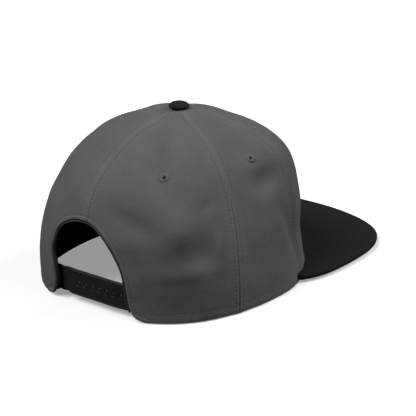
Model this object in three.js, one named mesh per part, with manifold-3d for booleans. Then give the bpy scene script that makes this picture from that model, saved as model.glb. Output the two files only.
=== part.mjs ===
// Six-panel snapback cap with a flat brim and a plastic snap strap.
// Millimetres, +Z up, the brim points along -Y and +X is the wearer's left.
// Azimuth is measured round the crown from the back seam, positive toward the wearer's right.

import * as THREE from 'three';
import { mergeVertices } from 'three/addons/utils/BufferGeometryUtils.js';
import Module from 'manifold-3d';

const wasm = await Module();
wasm.setup();

// Main sizes
const HEAD_RADIUS = 90;
const CROWN_HEIGHT = 113.6;
const APEX_SET_FORWARD = 7.9;
const PANEL_THICKNESS = 2;
const LAYER_GAP = 0.3;
const SEAM_GAP = 0.3;
const TOP_OPENING_RADIUS = 4;

// Brim sizes
const BRIM_HALF_WIDTH = 92.4;
const BRIM_FRONT_EXTENT = 164;
const BRIM_THICKNESS = 3.2;
const BRIM_UNDERSIDE = 1.6;
const BRIM_EDGE_ROUND = 1.3;
const BRIM_CAMBER = 0.2;
const BRIM_ROOT_AZIMUTH = 113;

// Rear arch, its binding tape and the sweatband
const ARCH_HEIGHT = 61.5;
const TAPE_THICKNESS = 1;
const TAPE_WIDTH = 9;
const TAPE_GAP = 0.5;
const TAPE_LIP = 1.1;
const TAPE_START_HEIGHT = 6;
const SWEATBAND_THICKNESS = 1.2;
const SWEATBAND_GAP = 0.7;
const SWEATBAND_TOP = 33;
const SWEATBAND_BOTTOM = 2.2;
const SWEATBAND_START_AZIMUTH = 29.5;

// Snap strap
const STRAP_HEIGHT = 17;
const STRAP_BOTTOM = 5;
const STRAP_THICKNESS = 1.2;
const STRAP_TAB_AZIMUTH = 27;
const STRAP_TAB_HEIGHT = 14;
const STRAP_DRAWN_IN = 4;
const STRAP_END_MARGIN = 11;
const STRAP_CORNER_RADIUS = 4;
const PEG_COUNT = 7;
const PEG_PITCH = 6.4;
const FIRST_PEG_ARC = -14;
const PEG_RADIUS = 1.5;
const PEG_PROUD = 0.35;
const PEG_HOLE_RADIUS = 1.9;

// Button and eyelets
const BUTTON_RADIUS = 7;
const BUTTON_HEIGHT = 3.9;
const BUTTON_SHANK_RADIUS = 2.6;
const BUTTON_SHANK_DEPTH = 2.8;
const EYELET_OUTER_RADIUS = 3.2;
const EYELET_HOLE_RADIUS = 0.9;
const EYELET_HEIGHT = 0.8;
const EYELET_SEAT = 0.4;

// Mesh resolution
const PANEL_COLUMN_COUNT = 11;
const BRIM_STEPS = 48;
const SWEATBAND_STEPS = 40;
const STRAP_STEPS = 22;

// Hem radius by azimuth, as a share of the head radius
const HEM = [
  { azimuth: 0, share: 0.982 },
  { azimuth: 22, share: 0.988 },
  { azimuth: 45, share: 0.992 },
  { azimuth: 67, share: 0.944 },
  { azimuth: 90, share: 0.932 },
  { azimuth: 112, share: 0.978 },
  { azimuth: 135, share: 1.026 },
  { azimuth: 158, share: 1.062 },
  { azimuth: 180, share: 1.058 },
];

// Crown sections from hem to apex: height share, and reach shares of the hem radius
const SECTION_AZIMUTHS = [0, 82, 130, 180];
const SECTIONS = [
  { height: 0.0, back: 1.0, side: 1.0, corner: 1.0, front: 1.0 },
  { height: 0.13, back: 1.014, side: 0.986, corner: 0.966, front: 1.004 },
  { height: 0.27, back: 1.025, side: 0.956, corner: 0.945, front: 0.996 },
  { height: 0.41, back: 1.02, side: 0.914, corner: 0.943, front: 0.973 },
  { height: 0.55, back: 0.988, side: 0.85, corner: 0.916, front: 0.928 },
  { height: 0.69, back: 0.921, side: 0.765, corner: 0.866, front: 0.855 },
  { height: 0.82, back: 0.755, side: 0.653, corner: 0.716, front: 0.703 },
  { height: 0.92, back: 0.525, side: 0.475, corner: 0.46, front: 0.45 },
  { height: 0.98, back: 0.261, side: 0.232, corner: 0.208, front: 0.205 },
  { height: 1.0, back: 0.0, side: 0.0, corner: 0.0, front: 0.0 },
];

// Seam azimuth at each section, for the rear side seam and the front side seam
const SEAMS = [
  { rear: 68.5, front: 123 },
  { rear: 68.7, front: 122 },
  { rear: 69, front: 121.5 },
  { rear: 69.7, front: 120 },
  { rear: 70.3, front: 118.5 },
  { rear: 70, front: 119 },
  { rear: 68, front: 120 },
  { rear: 65, front: 120 },
  { rear: 60, front: 120 },
  { rear: 60, front: 120 },
];

// Rear arch edge: azimuth of the right and left edges at shares of the arch height,
// and the share of the arch height that the same mesh row has at the rear side seam
const ARCH_EDGE = [
  { height: 0.0, right: 27.6, left: 27.4, seam: 0.0 },
  { height: 0.03, right: 24, left: 23.4, seam: 0.045 },
  { height: 0.09, right: 21.8, left: 20.8, seam: 0.1 },
  { height: 0.2, right: 20.6, left: 19.4, seam: 0.21 },
  { height: 0.32, right: 20, left: 19.6, seam: 0.32 },
  { height: 0.43, right: 19.4, left: 20.3, seam: 0.42 },
  { height: 0.55, right: 18.4, left: 20.8, seam: 0.52 },
  { height: 0.67, right: 16.2, left: 19.4, seam: 0.62 },
  { height: 0.79, right: 13.2, left: 17.2, seam: 0.71 },
  { height: 0.89, right: 9.6, left: 13.6, seam: 0.79 },
  { height: 0.955, right: 6.2, left: 9, seam: 0.86 },
  { height: 0.99, right: 3, left: 4.6, seam: 0.93 },
  { height: 1.0, right: 0, left: 0, seam: 1.01 },
];

// Mesh rows by section index: above the arch for the back panels, and for the others
const ROWS_ABOVE_ARCH = [4.3, 4.9, 5.5, 6.1, 6.8, 7.5, 8.1, 8.5];
const ROWS_PLAIN = [0, 0.6, 1.3, 2, 2.7, 3.4, 4.1, 4.8, 5.5, 6.1, 6.8, 7.5, 8.1, 8.5];

// Soft folds: azimuth and tilt in degrees, height as a share of the crown height,
// half widths and depth as shares of the head radius, depth positive inward
const FOLDS = [
  { azimuth: 118, height: 0.3, across: 0.14, along: 0.4, tilt: 0, depth: 0.03 },
  { azimuth: -118, height: 0.3, across: 0.14, along: 0.4, tilt: 0, depth: 0.03 },
  { azimuth: 110, height: 0.4, across: 0.08, along: 0.22, tilt: 28, depth: 0.014 },
  { azimuth: 104, height: 0.67, across: 0.17, along: 0.1, tilt: 0, depth: 0.038 },
  { azimuth: 94, height: 0.85, across: 0.12, along: 0.12, tilt: 0, depth: 0.024 },
  { azimuth: 22, height: 0.565, across: 0.19, along: 0.06, tilt: -26, depth: 0.02 },
  { azimuth: 17, height: 0.47, across: 0.16, along: 0.09, tilt: -22, depth: -0.02 },
  { azimuth: 52, height: 0.385, across: 0.11, along: 0.11, tilt: 0, depth: 0.022 },
  { azimuth: 44, height: 0.29, across: 0.24, along: 0.06, tilt: 3, depth: -0.01 },
  { azimuth: 40, height: 0.52, across: 0.12, along: 0.12, tilt: 0, depth: -0.034 },
  { azimuth: 42, height: 0.1, across: 0.26, along: 0.14, tilt: 0, depth: 0.01 },
  { azimuth: -31, height: 0.66, across: 0.2, along: 0.1, tilt: 0, depth: 0.022 },
  { azimuth: -98, height: 0.62, across: 0.16, along: 0.12, tilt: 15, depth: 0.018 },
];

// Brim outline from the right root end to the middle of the front:
// forward as a share of the front extent, across as a share of the half width
const BRIM_EDGE = [
  { forward: 0.22, across: 0.905 },
  { forward: 0.255, across: 0.937 },
  { forward: 0.31, across: 0.97 },
  { forward: 0.394, across: 0.993 },
  { forward: 0.518, across: 1.0 },
  { forward: 0.655, across: 0.987 },
  { forward: 0.742, across: 0.949 },
  { forward: 0.8, across: 0.901 },
  { forward: 0.844, across: 0.848 },
  { forward: 0.888, across: 0.768 },
  { forward: 0.933, across: 0.634 },
  { forward: 0.965, across: 0.482 },
  { forward: 0.989, across: 0.297 },
  { forward: 0.998, across: 0.143 },
  { forward: 1.0, across: 0.0 },
];

// Eyelets: one in the upper middle of each panel, azimuth and section index
const EYELETS = [
  { panel: 'back', azimuth: 34, section: 5.75 },
  { panel: 'side', azimuth: 97, section: 5.78 },
  { panel: 'front', azimuth: 157, section: 5.45 },
];

// Cubic spline through points; a null end slope leaves that end free of bending
function cubicSpline(xs, ys, startSlope, endSlope) {
  const n = xs.length;
  const lower = new Array(n).fill(0);
  const middle = new Array(n).fill(0);
  const upper = new Array(n).fill(0);
  const right = new Array(n).fill(0);
  for (let i = 1; i < n - 1; i += 1) {
    const before = xs[i] - xs[i - 1];
    const after = xs[i + 1] - xs[i];
    lower[i] = after;
    middle[i] = 2 * (before + after);
    upper[i] = before;
    right[i] = 3 * (after * (ys[i] - ys[i - 1]) / before + before * (ys[i + 1] - ys[i]) / after);
  }
  const last = n - 1;
  middle[0] = startSlope === null ? 2 : 1;
  upper[0] = startSlope === null ? 1 : 0;
  right[0] = startSlope === null ? 3 * (ys[1] - ys[0]) / (xs[1] - xs[0]) : startSlope;
  middle[last] = endSlope === null ? 2 : 1;
  lower[last] = endSlope === null ? 1 : 0;
  const lastRise = (ys[last] - ys[last - 1]) / (xs[last] - xs[last - 1]);
  right[last] = endSlope === null ? 3 * lastRise : endSlope;
  for (let i = 1; i < n; i += 1) {
    const factor = lower[i] / middle[i - 1];
    middle[i] -= factor * upper[i - 1];
    right[i] -= factor * right[i - 1];
  }
  const slopes = new Array(n).fill(0);
  slopes[last] = right[last] / middle[last];
  for (let i = last - 1; i >= 0; i -= 1) {
    slopes[i] = (right[i] - upper[i] * slopes[i + 1]) / middle[i];
  }
  return (x) => {
    let i = 0;
    while (i < last - 1 && x > xs[i + 1]) i += 1;
    const width = xs[i + 1] - xs[i];
    const t = (x - xs[i]) / width;
    const t2 = t * t;
    const t3 = t2 * t;
    const near = (2 * t3 - 3 * t2 + 1) * ys[i] + (t3 - 2 * t2 + t) * width * slopes[i];
    return near + (3 * t2 - 2 * t3) * ys[i + 1] + (t3 - t2) * width * slopes[i + 1];
  };
}

// Crown surface

const SECTION_INDEX = SECTIONS.map((row, i) => i);
const LAST_SECTION = SECTIONS.length - 1;
const heightShare = cubicSpline(SECTION_INDEX, SECTIONS.map((row) => row.height), null, 0);
const reachColumns = ['back', 'side', 'corner', 'front'].map((name) =>
  cubicSpline(SECTION_INDEX, SECTIONS.map((row) => row[name]), null, null));
const columnWeights = SECTION_AZIMUTHS.map((azimuth, i) =>
  cubicSpline(SECTION_AZIMUTHS, SECTION_AZIMUTHS.map((other, j) => (i === j ? 1 : 0)), 0, 0));
const hemShare = cubicSpline(HEM.map((row) => row.azimuth), HEM.map((row) => row.share), 0, 0);
const rearSeam = cubicSpline(SECTION_INDEX, SEAMS.map((row) => row.rear), null, 0);
const frontSeam = cubicSpline(SECTION_INDEX, SEAMS.map((row) => row.front), null, 0);

function wrapAzimuth(azimuth) {
  return azimuth - 360 * Math.round(azimuth / 360);
}

function baseSkin(azimuth, section) {
  const angle = THREE.MathUtils.degToRad(azimuth);
  const size = Math.abs(wrapAzimuth(azimuth));
  const radius = HEAD_RADIUS * hemShare(size);
  let reach = 0;
  for (let i = 0; i < reachColumns.length; i += 1) {
    reach += columnWeights[i](size) * reachColumns[i](section);
  }
  const x = -radius * reach * Math.sin(angle);
  const y = radius * reach * Math.cos(angle) - APEX_SET_FORWARD * (1 - reach);
  return new THREE.Vector3(x, y, CROWN_HEIGHT * heightShare(section));
}

function surfaceNormal(surface, azimuth, section) {
  const stepAzimuth = 0.6;
  const stepSection = 0.05;
  const low = Math.max(section - stepSection, 0);
  const east = surface(azimuth + stepAzimuth, section);
  const west = surface(azimuth - stepAzimuth, section);
  const above = surface(azimuth, section + stepSection);
  const below = surface(azimuth, low);
  const along = east.sub(west);
  const up = above.sub(below);
  return along.cross(up).normalize();
}

function foldDepth(azimuth, point) {
  let depth = 0;
  const radius = Math.hypot(point.x, point.y);
  for (const fold of FOLDS) {
    const side = THREE.MathUtils.degToRad(wrapAzimuth(azimuth - fold.azimuth)) * radius;
    const rise = point.z - fold.height * CROWN_HEIGHT;
    const tilt = THREE.MathUtils.degToRad(fold.tilt);
    const across = (side * Math.cos(tilt) + rise * Math.sin(tilt)) / (fold.across * HEAD_RADIUS);
    const along = (rise * Math.cos(tilt) - side * Math.sin(tilt)) / (fold.along * HEAD_RADIUS);
    depth += fold.depth * HEAD_RADIUS * Math.exp(-across * across - along * along);
  }
  return depth;
}

function skin(azimuth, section) {
  const point = baseSkin(azimuth, section);
  const normal = surfaceNormal(baseSkin, azimuth, section);
  const depth = foldDepth(azimuth, point);
  const height = point.z;
  point.addScaledVector(normal, -depth);
  if (section <= 0) point.z = height;
  return point;
}

// Point at an inset inside the outer skin; the hem row stays level
function layer(azimuth, section, inset) {
  const point = skin(azimuth, section);
  const normal = surfaceNormal(skin, azimuth, section);
  const height = point.z;
  point.addScaledVector(normal, -inset);
  if (section <= 0) point.z = height;
  return point;
}

function sectionAtHeight(height) {
  let low = 0;
  let high = LAST_SECTION;
  for (let i = 0; i < 40; i += 1) {
    const middle = (low + high) / 2;
    if (CROWN_HEIGHT * heightShare(middle) < height) low = middle;
    else high = middle;
  }
  return (low + high) / 2;
}

// Section index at which the skin is a given distance out from the apex
function sectionAtReach(azimuth, distance) {
  let low = LAST_SECTION / 2;
  let high = LAST_SECTION;
  for (let i = 0; i < 40; i += 1) {
    const middle = (low + high) / 2;
    const point = baseSkin(azimuth, middle);
    if (Math.hypot(point.x, point.y + APEX_SET_FORWARD) > distance) low = middle;
    else high = middle;
  }
  return (low + high) / 2;
}

// Closed solids

function makeGeometry(points, triangles) {
  const geometry = new THREE.BufferGeometry();
  const positions = new Float32Array(points.length * 3);
  points.forEach((point, i) => point.toArray(positions, i * 3));
  geometry.setAttribute('position', new THREE.BufferAttribute(positions, 3));
  geometry.setIndex(triangles);
  return geometry;
}

function signedVolume(geometry) {
  const position = geometry.getAttribute('position');
  const index = geometry.getIndex();
  const a = new THREE.Vector3();
  const b = new THREE.Vector3();
  const c = new THREE.Vector3();
  let volume = 0;
  for (let i = 0; i < index.count; i += 3) {
    a.fromBufferAttribute(position, index.getX(i));
    b.fromBufferAttribute(position, index.getX(i + 1));
    c.fromBufferAttribute(position, index.getX(i + 2));
    volume += a.dot(b.cross(c)) / 6;
  }
  return volume;
}

// Turn the faces round if the solid is inside out
function facingOut(geometry) {
  if (signedVolume(geometry) >= 0) return geometry;
  const index = geometry.getIndex();
  for (let i = 0; i < index.count; i += 3) {
    const second = index.getX(i + 1);
    index.setX(i + 1, index.getX(i + 2));
    index.setX(i + 2, second);
  }
  return geometry;
}

// Solid between an outer and an inner grid of points with the same rows and columns
function gridSolid(outer, inner) {
  const rows = outer.length;
  const columns = outer[0].length;
  const points = [];
  const triangles = [];
  for (const grid of [outer, inner]) {
    for (const row of grid) points.push(...row);
  }
  const shift = rows * columns;
  const at = (row, column) => row * columns + column;
  const quad = (a, b, c, d) => triangles.push(a, b, c, a, c, d);
  for (let i = 0; i < rows - 1; i += 1) {
    for (let j = 0; j < columns - 1; j += 1) {
      quad(at(i, j), at(i, j + 1), at(i + 1, j + 1), at(i + 1, j));
      quad(at(i, j) + shift, at(i + 1, j) + shift, at(i + 1, j + 1) + shift, at(i, j + 1) + shift);
    }
  }
  for (let j = 0; j < columns - 1; j += 1) {
    const top = rows - 1;
    quad(at(0, j), at(0, j) + shift, at(0, j + 1) + shift, at(0, j + 1));
    quad(at(top, j), at(top, j + 1), at(top, j + 1) + shift, at(top, j) + shift);
  }
  for (let i = 0; i < rows - 1; i += 1) {
    const end = columns - 1;
    quad(at(i, 0), at(i + 1, 0), at(i + 1, 0) + shift, at(i, 0) + shift);
    quad(at(i, end), at(i, end) + shift, at(i + 1, end) + shift, at(i + 1, end));
  }
  return facingOut(makeGeometry(points, triangles));
}

// Solid swept through closed loops of points; each end is capped from its first point
function loopSolid(loops, closed) {
  const count = loops[0].length;
  const points = loops.flat();
  const triangles = [];
  const steps = closed ? loops.length : loops.length - 1;
  for (let i = 0; i < steps; i += 1) {
    const next = (i + 1) % loops.length;
    for (let j = 0; j < count; j += 1) {
      const k = (j + 1) % count;
      const a = i * count + j;
      const b = i * count + k;
      const c = next * count + k;
      const d = next * count + j;
      triangles.push(a, b, c, a, c, d);
    }
  }
  if (!closed) {
    const shift = (loops.length - 1) * count;
    for (let j = 1; j < count - 1; j += 1) {
      triangles.push(0, j + 1, j);
      triangles.push(shift, shift + j, shift + j + 1);
    }
  }
  return facingOut(makeGeometry(points, triangles));
}

// Cutting and joining

function toManifold(geometry) {
  const vertProperties = geometry.getAttribute('position').array;
  const triVerts = new Uint32Array(geometry.getIndex().array);
  return new wasm.Manifold(new wasm.Mesh({ numProp: 3, vertProperties, triVerts }));
}

function fromManifold(solid) {
  const mesh = solid.getMesh();
  const geometry = new THREE.BufferGeometry();
  const positions = new Float32Array(mesh.vertProperties);
  geometry.setAttribute('position', new THREE.BufferAttribute(positions, 3));
  geometry.setIndex(Array.from(mesh.triVerts));
  return geometry;
}

// Closed three.js shape with its shared vertices merged
function weld(geometry) {
  geometry.deleteAttribute('normal');
  geometry.deleteAttribute('uv');
  return mergeVertices(geometry, 1e-4);
}

// Round bar from a start point along a direction
function roundBar(start, direction, radius, length, sides) {
  const geometry = new THREE.CylinderGeometry(radius, radius, length, sides);
  geometry.translate(0, length / 2, 0);
  const upward = new THREE.Vector3(0, 1, 0);
  const turn = new THREE.Quaternion().setFromUnitVectors(upward, direction.clone().normalize());
  geometry.applyQuaternion(turn);
  geometry.translate(start.x, start.y, start.z);
  return weld(geometry);
}

// Panels

function seamStep(azimuth, section, distance) {
  const point = baseSkin(azimuth, section);
  const radius = Math.hypot(point.x, point.y + APEX_SET_FORWARD);
  return THREE.MathUtils.radToDeg(distance / Math.max(radius, TOP_OPENING_RADIUS));
}

// Rows of a back panel as pairs of boundary points: the arch or centre seam, and the rear seam
function backRows(side) {
  const rows = [];
  for (const row of ARCH_EDGE) {
    const near = sectionAtHeight(row.height * ARCH_HEIGHT);
    const far = sectionAtHeight(row.seam * ARCH_HEIGHT);
    const edge = side > 0 ? row.right : row.left;
    const gap = seamStep(0, near, SEAM_GAP / 2);
    rows.push([
      { azimuth: Math.max(edge, gap), section: row.height > 0 ? near : 0 },
      { azimuth: rearSeam(far) - seamStep(rearSeam(far), far, SEAM_GAP / 2), section: row.seam > 0 ? far : 0 },
    ]);
  }
  const top = sectionAtReach(30, TOP_OPENING_RADIUS);
  for (const section of [...ROWS_ABOVE_ARCH, top]) {
    rows.push([
      { azimuth: seamStep(0, section, SEAM_GAP / 2), section },
      { azimuth: rearSeam(section) - seamStep(60, section, SEAM_GAP / 2), section },
    ]);
  }
  return rows;
}

function plainRows(startSeam, endSeam) {
  const top = sectionAtReach(90, TOP_OPENING_RADIUS);
  return [...ROWS_PLAIN, top].map((section) => {
    const start = startSeam(section);
    const end = endSeam(section);
    return [
      { azimuth: start + seamStep(start, section, SEAM_GAP / 2), section },
      { azimuth: end - seamStep(end, section, SEAM_GAP / 2), section },
    ];
  });
}

function panelSolid(rows, side) {
  const grids = [0, PANEL_THICKNESS].map((inset) => rows.map(([start, end]) => {
    const line = [];
    for (let j = 0; j <= PANEL_COLUMN_COUNT; j += 1) {
      const t = j / PANEL_COLUMN_COUNT;
      const azimuth = THREE.MathUtils.lerp(start.azimuth, end.azimuth, t);
      const section = THREE.MathUtils.lerp(start.section, end.section, t);
      line.push(layer(side * azimuth, section, inset));
    }
    return line;
  }));
  return gridSolid(grids[0], grids[1]);
}

function eyeletFrame(eyelet, side) {
  const centre = skin(side * eyelet.azimuth, eyelet.section);
  const normal = surfaceNormal(skin, side * eyelet.azimuth, eyelet.section);
  return { centre, normal };
}

function withEyeletHole(geometry, name, side) {
  const eyelet = EYELETS.find((row) => row.panel === name);
  const { centre, normal } = eyeletFrame(eyelet, side);
  const reach = PANEL_THICKNESS * 2;
  const start = centre.clone().addScaledVector(normal, -reach);
  const drill = roundBar(start, normal, EYELET_HOLE_RADIUS, reach * 2, 10);
  return fromManifold(toManifold(geometry).subtract(toManifold(drill)));
}

// Eyelet ring that follows the panel
function eyeletRing(eyelet, side) {
  const centre = baseSkin(eyelet.azimuth, eyelet.section);
  const above = baseSkin(eyelet.azimuth, eyelet.section + 0.1);
  const perSection = above.distanceTo(centre) / 0.1;
  const radius = Math.hypot(centre.x, centre.y);
  const width = EYELET_OUTER_RADIUS - EYELET_HOLE_RADIUS;
  const profile = [
    { out: EYELET_HOLE_RADIUS, up: EYELET_SEAT },
    { out: EYELET_OUTER_RADIUS, up: EYELET_SEAT },
    { out: EYELET_OUTER_RADIUS - width * 0.2, up: EYELET_SEAT + EYELET_HEIGHT * 0.75 },
    { out: EYELET_OUTER_RADIUS - width * 0.5, up: EYELET_SEAT + EYELET_HEIGHT },
    { out: EYELET_HOLE_RADIUS + width * 0.2, up: EYELET_SEAT + EYELET_HEIGHT * 0.75 },
  ];
  const loops = [];
  const steps = 14;
  for (let i = 0; i < steps; i += 1) {
    const angle = 2 * Math.PI * i / steps;
    loops.push(profile.map((row) => {
      const turn = THREE.MathUtils.radToDeg(row.out * Math.cos(angle) / radius);
      const section = eyelet.section + row.out * Math.sin(angle) / perSection;
      return layer(side * (eyelet.azimuth + turn), section, -row.up);
    }));
  }
  return loopSolid(loops, true);
}

// Button dome with a short shank through the opening at the top
function buttonSolid() {
  const profile = [
    new THREE.Vector2(0, -BUTTON_SHANK_DEPTH),
    new THREE.Vector2(BUTTON_SHANK_RADIUS, -BUTTON_SHANK_DEPTH),
    new THREE.Vector2(BUTTON_SHANK_RADIUS, LAYER_GAP),
    new THREE.Vector2(BUTTON_RADIUS * 0.94, LAYER_GAP),
    new THREE.Vector2(BUTTON_RADIUS, LAYER_GAP + BUTTON_HEIGHT * 0.18),
    new THREE.Vector2(BUTTON_RADIUS * 0.95, LAYER_GAP + BUTTON_HEIGHT * 0.42),
    new THREE.Vector2(BUTTON_RADIUS * 0.8, LAYER_GAP + BUTTON_HEIGHT * 0.67),
    new THREE.Vector2(BUTTON_RADIUS * 0.55, LAYER_GAP + BUTTON_HEIGHT * 0.87),
    new THREE.Vector2(BUTTON_RADIUS * 0.28, LAYER_GAP + BUTTON_HEIGHT * 0.97),
    new THREE.Vector2(0, LAYER_GAP + BUTTON_HEIGHT),
  ];
  const geometry = new THREE.LatheGeometry(profile, 24);
  geometry.rotateX(Math.PI / 2);
  geometry.translate(0, -APEX_SET_FORWARD, CROWN_HEIGHT);
  return facingOut(weld(geometry));
}

// Flat brim from the crown's hem to the outline
function brimSolid() {
  const edge = [];
  for (const row of BRIM_EDGE) {
    edge.push(new THREE.Vector3(-row.across * BRIM_HALF_WIDTH, -row.forward * BRIM_FRONT_EXTENT, 0));
  }
  for (let i = BRIM_EDGE.length - 2; i >= 0; i -= 1) {
    const row = BRIM_EDGE[i];
    edge.push(new THREE.Vector3(row.across * BRIM_HALF_WIDTH, -row.forward * BRIM_FRONT_EXTENT, 0));
  }
  const outline = new THREE.CatmullRomCurve3(edge, false, 'centripetal');
  const topShares = [0, 0.3, 0.65];
  const loops = [];
  for (let i = 0; i <= BRIM_STEPS; i += 1) {
    const t = i / BRIM_STEPS;
    const azimuth = THREE.MathUtils.lerp(BRIM_ROOT_AZIMUTH, 360 - BRIM_ROOT_AZIMUTH, t);
    const rim = outline.getPointAt(t);
    const camber = (x) => BRIM_CAMBER * (1 - (x / BRIM_HALF_WIDTH) ** 2);
    const rootAt = (height) => layer(azimuth, sectionAtHeight(height), -LAYER_GAP);
    const under = BRIM_UNDERSIDE;
    const over = BRIM_UNDERSIDE + BRIM_THICKNESS;
    const rootLow = rootAt(under);
    const rootHigh = rootAt(over);
    const inward = new THREE.Vector3(rootHigh.x - rim.x, rootHigh.y - rim.y, 0).normalize();
    const shoulder = rim.clone().addScaledVector(inward, BRIM_EDGE_ROUND);
    const lay = (point, height) => new THREE.Vector3(point.x, point.y, height + camber(point.x));
    const loop = [];
    loop.push(lay(rootLow, under));
    for (const share of topShares) loop.push(lay(rootHigh.clone().lerp(shoulder, share), over));
    loop.push(lay(shoulder, over));
    loop.push(lay(rim, over - BRIM_THICKNESS * 0.3));
    loop.push(lay(rim, under + BRIM_THICKNESS * 0.3));
    loop.push(lay(shoulder, under));
    for (const share of [0.65, 0.3]) loop.push(lay(rootLow.clone().lerp(shoulder, share), under));
    loops.push(loop);
  }
  return loopSolid(loops, false);
}

// Sweatband round the inside of the hem, open at the rear arch
function sweatbandSolid() {
  const heights = [0, 0.33, 0.67, 1].map((share) =>
    THREE.MathUtils.lerp(SWEATBAND_BOTTOM, SWEATBAND_TOP, share));
  const outside = PANEL_THICKNESS + SWEATBAND_GAP;
  const grids = [outside, outside + SWEATBAND_THICKNESS].map((inset) => heights.map((height) => {
    const line = [];
    for (let j = 0; j <= SWEATBAND_STEPS; j += 1) {
      const share = j / SWEATBAND_STEPS;
      const end = 360 - SWEATBAND_START_AZIMUTH;
      const azimuth = THREE.MathUtils.lerp(SWEATBAND_START_AZIMUTH, end, share);
      line.push(layer(azimuth, sectionAtHeight(height), inset));
    }
    return line;
  }));
  return gridSolid(grids[0], grids[1]);
}

// Arch edge azimuths at a height in millimetres
function archEdgeAt(height) {
  const share = height / ARCH_HEIGHT;
  const above = ARCH_EDGE.findIndex((row) => row.height > share);
  const low = ARCH_EDGE[above - 1];
  const high = ARCH_EDGE[above];
  const t = (share - low.height) / (high.height - low.height);
  return {
    height: share,
    right: THREE.MathUtils.lerp(low.right, high.right, t),
    left: THREE.MathUtils.lerp(low.left, high.left, t),
  };
}

// Binding tape along the arch edge: a lip over the cut edge and a flat inside
function tapeSolid() {
  const path = [];
  const rows = [archEdgeAt(TAPE_START_HEIGHT)];
  for (const row of ARCH_EDGE) {
    if (row.height * ARCH_HEIGHT > TAPE_START_HEIGHT + TAPE_THICKNESS) rows.push(row);
  }
  for (const row of rows) path.push({ azimuth: row.right, height: row.height * ARCH_HEIGHT });
  for (let i = rows.length - 2; i >= 0; i -= 1) {
    path.push({ azimuth: -rows[i].left, height: rows[i].height * ARCH_HEIGHT });
  }
  const centre = path.map((row) => {
    const point = skin(row.azimuth, sectionAtHeight(row.height));
    return { ...row, radius: Math.hypot(point.x, point.y) };
  });
  const loops = centre.map((row, i) => {
    const before = centre[Math.max(i - 1, 0)];
    const after = centre[Math.min(i + 1, centre.length - 1)];
    const sideRun = THREE.MathUtils.degToRad(after.azimuth - before.azimuth) * row.radius;
    const rise = after.height - before.height;
    const length = Math.hypot(sideRun, rise);
    const outSide = rise / length;
    const outRise = -sideRun / length;
    const place = (offset, inset) => {
      const azimuth = row.azimuth + THREE.MathUtils.radToDeg(outSide * offset / row.radius);
      const height = row.height + outRise * offset;
      return layer(azimuth, sectionAtHeight(height), inset);
    };
    const lipStart = -LAYER_GAP;
    const inside = PANEL_THICKNESS + TAPE_GAP;
    return [
      place(lipStart, inside),
      place(lipStart, LAYER_GAP),
      place(lipStart - TAPE_LIP, LAYER_GAP),
      place(lipStart - TAPE_LIP, inside + TAPE_THICKNESS),
      place(TAPE_WIDTH, inside + TAPE_THICKNESS),
      place(TAPE_WIDTH, inside),
    ];
  });
  return loopSolid(loops, false);
}

// Snap strap

// Point of the strap; between its tabs it is drawn in from the curve of the hem
function strapPlace(arc, height, inset) {
  const azimuth = THREE.MathUtils.radToDeg(arc / (HEAD_RADIUS * hemShare(0)));
  const point = baseSkin(azimuth, 0);
  const before = baseSkin(azimuth - 1, 0);
  const after = baseSkin(azimuth + 1, 0);
  const along = after.sub(before).normalize();
  const outward = new THREE.Vector3(along.y, -along.x, 0);
  if (outward.y < 0) outward.negate();
  const share = THREE.MathUtils.clamp(azimuth / STRAP_TAB_AZIMUTH, -1, 1);
  const drawnIn = STRAP_DRAWN_IN * Math.cos(share * Math.PI / 2) ** 2;
  point.addScaledVector(outward, -inset - drawnIn);
  point.z = height;
  return { point, outward };
}

const OUTER_STRAP_INSET = PANEL_THICKNESS + TAPE_GAP + TAPE_THICKNESS + LAYER_GAP;
const INNER_STRAP_INSET = OUTER_STRAP_INSET + STRAP_THICKNESS + LAYER_GAP;
const TAB_ARC = THREE.MathUtils.degToRad(STRAP_TAB_AZIMUTH) * HEAD_RADIUS * hemShare(0);

// Free ends of the two straps, just past the last peg on their side
const OUTER_END_ARC = STRAP_END_MARGIN - FIRST_PEG_ARC;
const INNER_END_ARC = FIRST_PEG_ARC + PEG_PITCH * (PEG_COUNT - 1) + STRAP_END_MARGIN;

// Strip from a tab inside one arch edge to a rounded free end;
// direction is +1 for the strap fixed at the wearer's left
function strapStrip(direction, endArc, insetAt) {
  const middle = STRAP_BOTTOM + STRAP_HEIGHT / 2;
  const loops = [];
  const startArc = -TAB_ARC;
  for (let i = 0; i <= STRAP_STEPS; i += 1) {
    const share = i / STRAP_STEPS;
    const ease = share < 0.7 ? share / 0.7 * 0.8 : 0.8 + 0.2 * Math.sin((share - 0.7) / 0.3 * Math.PI / 2);
    const arc = THREE.MathUtils.lerp(startArc, endArc, ease);
    const fromEnd = endArc - arc;
    const corner = Math.max(STRAP_CORNER_RADIUS - fromEnd, 0);
    let half = STRAP_HEIGHT / 2 - STRAP_CORNER_RADIUS + Math.sqrt(STRAP_CORNER_RADIUS ** 2 - corner ** 2);
    const tabShare = THREE.MathUtils.smoothstep(arc, startArc, startArc + STRAP_HEIGHT / 2);
    half = Math.min(half, THREE.MathUtils.lerp(STRAP_TAB_HEIGHT / 2, STRAP_HEIGHT / 2, tabShare));
    const inset = insetAt(arc);
    loops.push([
      strapPlace(direction * arc, middle - half, inset).point,
      strapPlace(direction * arc, middle + half, inset).point,
      strapPlace(direction * arc, middle + half, inset + STRAP_THICKNESS).point,
      strapPlace(direction * arc, middle - half, inset + STRAP_THICKNESS).point,
    ]);
  }
  return loopSolid(loops, false);
}

function pegArcs() {
  return Array.from({ length: PEG_COUNT }, (unused, i) => FIRST_PEG_ARC + PEG_PITCH * i);
}

const PEG_HEIGHT = STRAP_BOTTOM + STRAP_HEIGHT / 2;

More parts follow.
